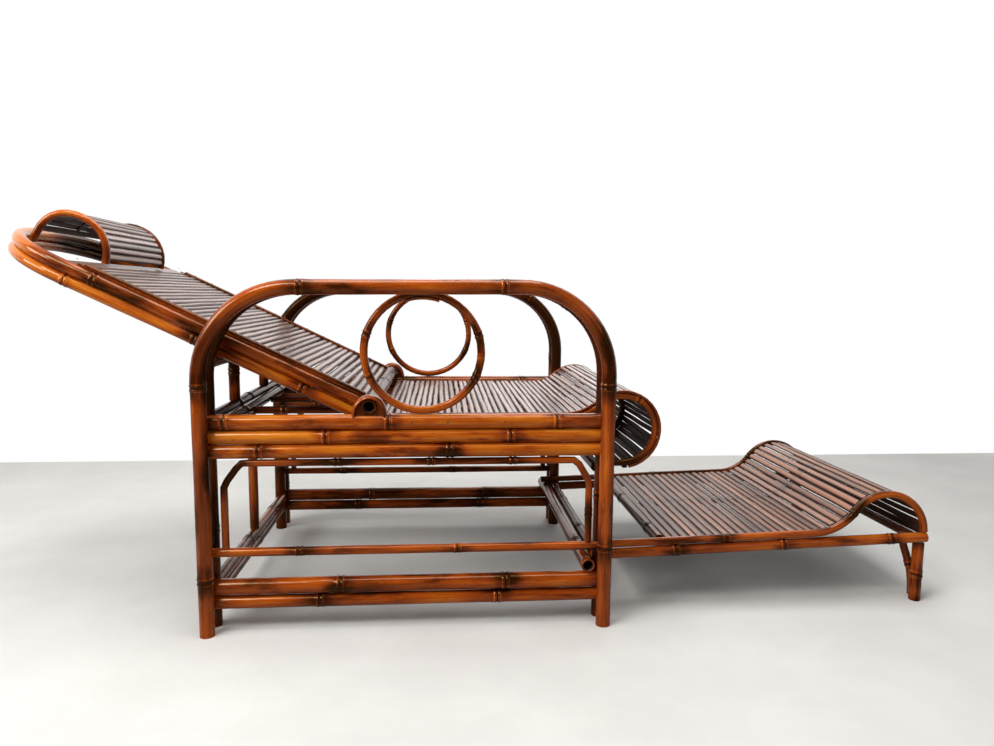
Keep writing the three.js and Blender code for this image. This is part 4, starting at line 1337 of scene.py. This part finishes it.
class RECLINER_OT_footrest(ReclinerOperator, bpy.types.Operator):
    """Bend the footrest's rims, fit its poles, legs and braces, and lay its slats"""

    bl_idname = "recliner.footrest"
    bl_label = "Footrest"

    # Tone, places of nodes, burns
    SIDE_POLES = {
        "foot_rim": (0.60, (0.384, 0.74), [(0.74, 0.05, 0.7), (0.38, 0.05, 0.5)]),
        "foot_rail": (0.66, (0.249, 0.567, 0.893), [(0.35, 0.2, 0.3), (0.9, 0.04, 0.5)]),
        "foot_leg": (0.58, (0.46,), [(1.0, 0.1, 0.5), (0.0, 0.1, 0.3)]),
    }
    # Radius, places of nodes
    CROSS_POLES = {
        "foot_inner_pole": (0.010, (0.3, 0.75)),
        "foot_deck_pole": (0.011, (0.15, 0.6)),
        "foot_end_pole": (0.009, (0.5,)),
    }
    LEG_RADIUS, BRACE_RADIUS, RIB_WIDTH = 0.011, 0.0074, 0.016
    RAIL_START, DECK_POLE_X = 0.0133, 0.1575
    SLATS_TAIL, SLATS_INSET = 0.012, 0.003
    # Ahead of the leg, above the floor
    BRACE = [(-0.025, 0.137), (-0.022, 0.118), (-0.010, 0.086), (0.0, 0.056), (0.004, 0.028), (0.005, 0.004)]

    def execute(self, context):
        foot = sizes("foot")
        hollow_tube("foot_roller", middle("foot_roller"), ROLLER_RADIUS, 0.44, (0.2,))
        rim_z = foot_rim_height()
        rail_z = rim_z - foot.rim - POLE_GAP - foot.rail
        curve = foot_curve()
        rim = line_of((-ROLLER_RADIUS, rim_z), curve)
        rail = line_of((self.RAIL_START, rail_z), (foot.rail_end, rail_z))
        # fade darkens the far side's poles: painted shade.
        for side, fade in {"near": 0.0, "far": -0.30}.items():
            y = SIDES[side] * foot.half_width
            leg = straight_node(f"foot_leg_{side}", 2)
            lines = {
                "foot_rim": (in_foot([(x, y, z) for x, z in rim]), foot.rim),
                "foot_rail": (in_foot([(x, y, z) for x, z in rail]), foot.rail),
                "foot_leg": (leg, self.LEG_RADIUS),
            }
            for name, (tone, knots, burns_and_painted_light) in self.SIDE_POLES.items():
                line, radius = lines[name]
                cane(f"{name}_{side}", line, radius, tone + fade, knots, burns_and_painted_light)
            self.brace(side, leg[0][0])
        for node, (radius, knots) in self.CROSS_POLES.items():
            cane(node, straight_node(node, 1), radius, 0.20, knots)
        deck_start = self.DECK_POLE_X + self.CROSS_POLES["foot_deck_pole"][0] + CLEARANCE
        tail = curve[-1] - np.array((0.0, self.SLATS_TAIL))
        deck = in_foot([(x, 0.0, z) for x, z in line_of((deck_start, rim_z), curve, tail)])
        lay_slats("foot", deck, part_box("foot_slats")[1].y - self.SLATS_INSET, 47, "foot_slat")
        lay_rib("foot_slats", deck[::2], self.RIB_WIDTH)
        return {"FINISHED"}

    def brace(self, side, leg_x):
        node = f"foot_brace_{side}"
        bent = np.array([(leg_x + dx, z) for dx, z in self.BRACE])
        lengths = lengths_of(bent)
        flat = point_at(bent, lengths, np.linspace(0.0, lengths[-1], 24))
        # The far brace's lower tone is painted shade.
        tone = {"near": 0.36, "far": 0.2}[side]
        cane(node, upright(flat, middle(node).y), self.BRACE_RADIUS, tone, (0.5,))


class RECLINER_OT_nails(ReclinerOperator, bpy.types.Operator):
    """Drive the nails that hold the rings, straps and battens"""

    bl_idname = "recliner.nails"
    bl_label = "Nails"

    BESIDE_RING = (-0.020, 0.045, 0.150)
    BESIDE_PIVOT = 0.034
    ABOVE_RAIL, ABOVE_RAIL_IN_STRAP = 0.001, 0.008
    ALONG_BATTEN = (-0.58, -0.03, 0.043)

    def execute(self, context):
        base, backrest = [], []
        batten_top = back_levels()[0] + sizes("slats").thickness + BATTEN_HEIGHT
        up = in_back([(0, 0, 1)])[0] - np.array(PIVOT)
        for side, sign in SIDES.items():
            rail = middle(f"top_rail_{side}")
            ring = middle(f"arm_ring_{side}")
            face = rail.y + sign * RAIL_HALF
            for x in [ring.x + offset for offset in self.BESIDE_RING] + [PIVOT.x + self.BESIDE_PIVOT]:
                base.append(((x, face, rail.z + self.ABOVE_RAIL), (0.0, sign, 0.0)))
            low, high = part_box(f"pivot_strap_{side}")
            y, z = (low.y + high.y) / 2, rail.z + self.ABOVE_RAIL_IN_STRAP
            for x, ahead in ((low.x, -1.0), (high.x, 1.0)):
                base.append(((x, y, z), (ahead, 0.0, 0.3)))
            for x in np.arange(*self.ALONG_BATTEN):
                backrest.append((in_back([(x, sign * BATTEN_Y, batten_top)])[0], up))
        nail_heads("frame_nails", base, "base")
        nail_heads("batten_nails", backrest, "backrest")
        return {"FINISHED"}


class RECLINER_OT_stage(ReclinerOperator, bpy.types.Operator):
    """Set the floor, lamps and camera"""

    bl_idname = "recliner.stage"
    bl_label = "Stage"

    # Place, aim, width and height, watts
    LAMPS = {
        "key": ((-1.4, -1.7, 2.5), (0.0, 0.0, 0.35), (0.9, 0.9), 36.0),
        "fill": ((1.8, -2.4, 1.6), (0.2, 0.0, 0.3), (1.6, 1.6), 5.0),
        "top": ((0.0, -0.3, 2.7), (0.0, 0.0, 0.3), (1.5, 1.5), 43.0),
        "rear": ((0.6, 2.4, 2.0), (0.0, 0.0, 0.3), (1.8, 1.8), 18.0),
        "edge": ((-2.3, -1.2, 1.55), (-0.8, -0.1, 0.65), (1.3, 0.8), 32.0),
    }
    WORLD_LIGHT = 0.15
    FLOOR_HALF = 6
    FLOOR_BOUNCE, FLOOR_MOTTLE = 0.5, 1.08
    WHITE_BEYOND = (1.048, 1.052)
    WHITE_AWAY = (2.0, 3.4)

    def execute(self, context):
        self.ground()
        self.surround(context)
        self.lamps()
        self.camera(context)
        context.scene.view_settings.view_transform = "Standard"
        return {"FINISHED"}

    def ground(self):
        """A pale floor, duller for bounced light, that turns plain white for the camera far away."""
        floor = sizes("finish").floor
        recipe = Finish("pale_floor")
        place = recipe.place()
        mottle = recipe.noise(place, (3.0, 3.0, 3.0), 6.0, 0.65).ramp(0.35, 0.65)
        pale = [min(1.0, c * self.FLOOR_MOTTLE) for c in floor]
        dull = [c * self.FLOOR_BOUNCE for c in floor]
        seen = recipe.seen_by("Camera")
        recipe.close(base_color=recipe.mix(seen, dull, recipe.mix(mottle, floor, pale)), roughness=0.7)
        beyond = recipe.depth_of(place).ramp(*self.WHITE_BEYOND)
        reach = recipe.node("ShaderNodeVectorMath", [place], "Value", operation="LENGTH")
        recipe.glow_where(beyond.maths("MAXIMUM", reach.ramp(*self.WHITE_AWAY)) * seen)
        half = self.FLOOR_HALF
        corners = [(-half, -half, 0), (half, -half, 0), (half, half, 0), (-half, half, 0)]
        mesh = bpy.data.meshes.new("floor")
        mesh.from_pydata(corners, [], [(0, 1, 2, 3)])
        mesh.materials.append(recipe.material)
        add_object("floor", mesh)

    def surround(self, context):
        """Even light from all sides, seen as white by the camera and in reflections of what lies behind."""
        world = bpy.data.worlds.new("studio")
        world.use_nodes = True
        recipe = Recipe(world.node_tree)
        behind = recipe.depth_of(recipe.place("Generated")).maths("GREATER_THAN", 0.0)
        white = recipe.seen_by("Camera").maths("MAXIMUM", recipe.seen_by("Glossy") * behind)
        background = recipe.nodes["Background"].inputs
        recipe.feed(background["Strength"], white.maths("MAXIMUM", self.WORLD_LIGHT))
        recipe.feed(background["Color"], (1.0, 1.0, 1.0, 1.0))
        context.scene.world = world

    def lamps(self):
        for name, (place, aim, extent, power) in self.LAMPS.items():
            light = bpy.data.lights.new(name, "AREA")
            light.energy = power
            light.shape = "RECTANGLE"
            light.size, light.size_y = extent
            lamp = bpy.data.objects.new(name, light)
            lamp.location = place
            lamp.rotation_euler = (Vector(aim) - Vector(place)).to_track_quat("-Z", "Y").to_euler()
            bpy.context.scene.collection.objects.link(lamp)

    def camera(self, context):
        """The photograph's camera; its frame's width and its focal length are in pixels."""
        frame_width, focal = 994.0, 700.0
        place = Vector((-0.078, -1.5678, 0.6215))
        yaw, pitch, roll = 0.080, 0.112, -0.009
        ahead = Vector((math.sin(yaw) * math.cos(pitch), math.cos(yaw) * math.cos(pitch), -math.sin(pitch)))
        right = Vector((math.cos(yaw), -math.sin(yaw), 0.0))
        tilted = right * math.cos(roll) + ahead.cross(right) * math.sin(roll)
        data = bpy.data.cameras.new("camera")
        data.sensor_width = 36.0
        data.lens = data.sensor_width * focal / frame_width
        camera = bpy.data.objects.new("camera", data)
        turn = Matrix((tilted, tilted.cross(ahead), -ahead)).transposed()
        camera.matrix_world = Matrix.Translation(place) @ turn.to_4x4()
        context.scene.collection.objects.link(camera)
        context.scene.camera = camera


STEPS = [
    RECLINER_OT_finishes,
    RECLINER_OT_hoops,
    RECLINER_OT_rails,
    RECLINER_OT_brackets,
    RECLINER_OT_rings,
    RECLINER_OT_cross_poles,
    RECLINER_OT_seat,
    RECLINER_OT_backrest,
    RECLINER_OT_headrest,
    RECLINER_OT_footrest,
    RECLINER_OT_nails,
    RECLINER_OT_stage,
]


class RECLINER_PT_panel(bpy.types.Panel):
    """Sizes, colours and steps of the recliner"""

    bl_idname = "RECLINER_PT_panel"
    bl_label = "Recliner"
    bl_space_type = "VIEW_3D"
    bl_region_type = "UI"
    bl_category = "Recliner"

    def draw(self, context):
        for group in GROUPS:
            box = self.layout.box()
            box.label(text=group.replace("recliner_", "").title())
            values = getattr(context.scene, group)
            for key in values.bl_rna.properties.keys():
                if key not in ("rna_type", "name"):
                    box.prop(values, key)
        for step in STEPS:
            self.layout.operator(step.bl_idname)


def register():
    for group, kind in GROUPS.items():
        bpy.utils.register_class(kind)
        setattr(bpy.types.Scene, group, PointerProperty(type=kind))
    for step in STEPS:
        bpy.utils.register_class(step)
    bpy.utils.register_class(RECLINER_PT_panel)


def unregister():
    bpy.utils.unregister_class(RECLINER_PT_panel)
    for step in reversed(STEPS):
        bpy.utils.unregister_class(step)
    for group, kind in GROUPS.items():
        delattr(bpy.types.Scene, group)
        bpy.utils.unregister_class(kind)


def main():
    register()
    for step in STEPS:
        getattr(bpy.ops.recliner, step.bl_idname.split(".")[1])()


if __name__ == "__main__":
    main()
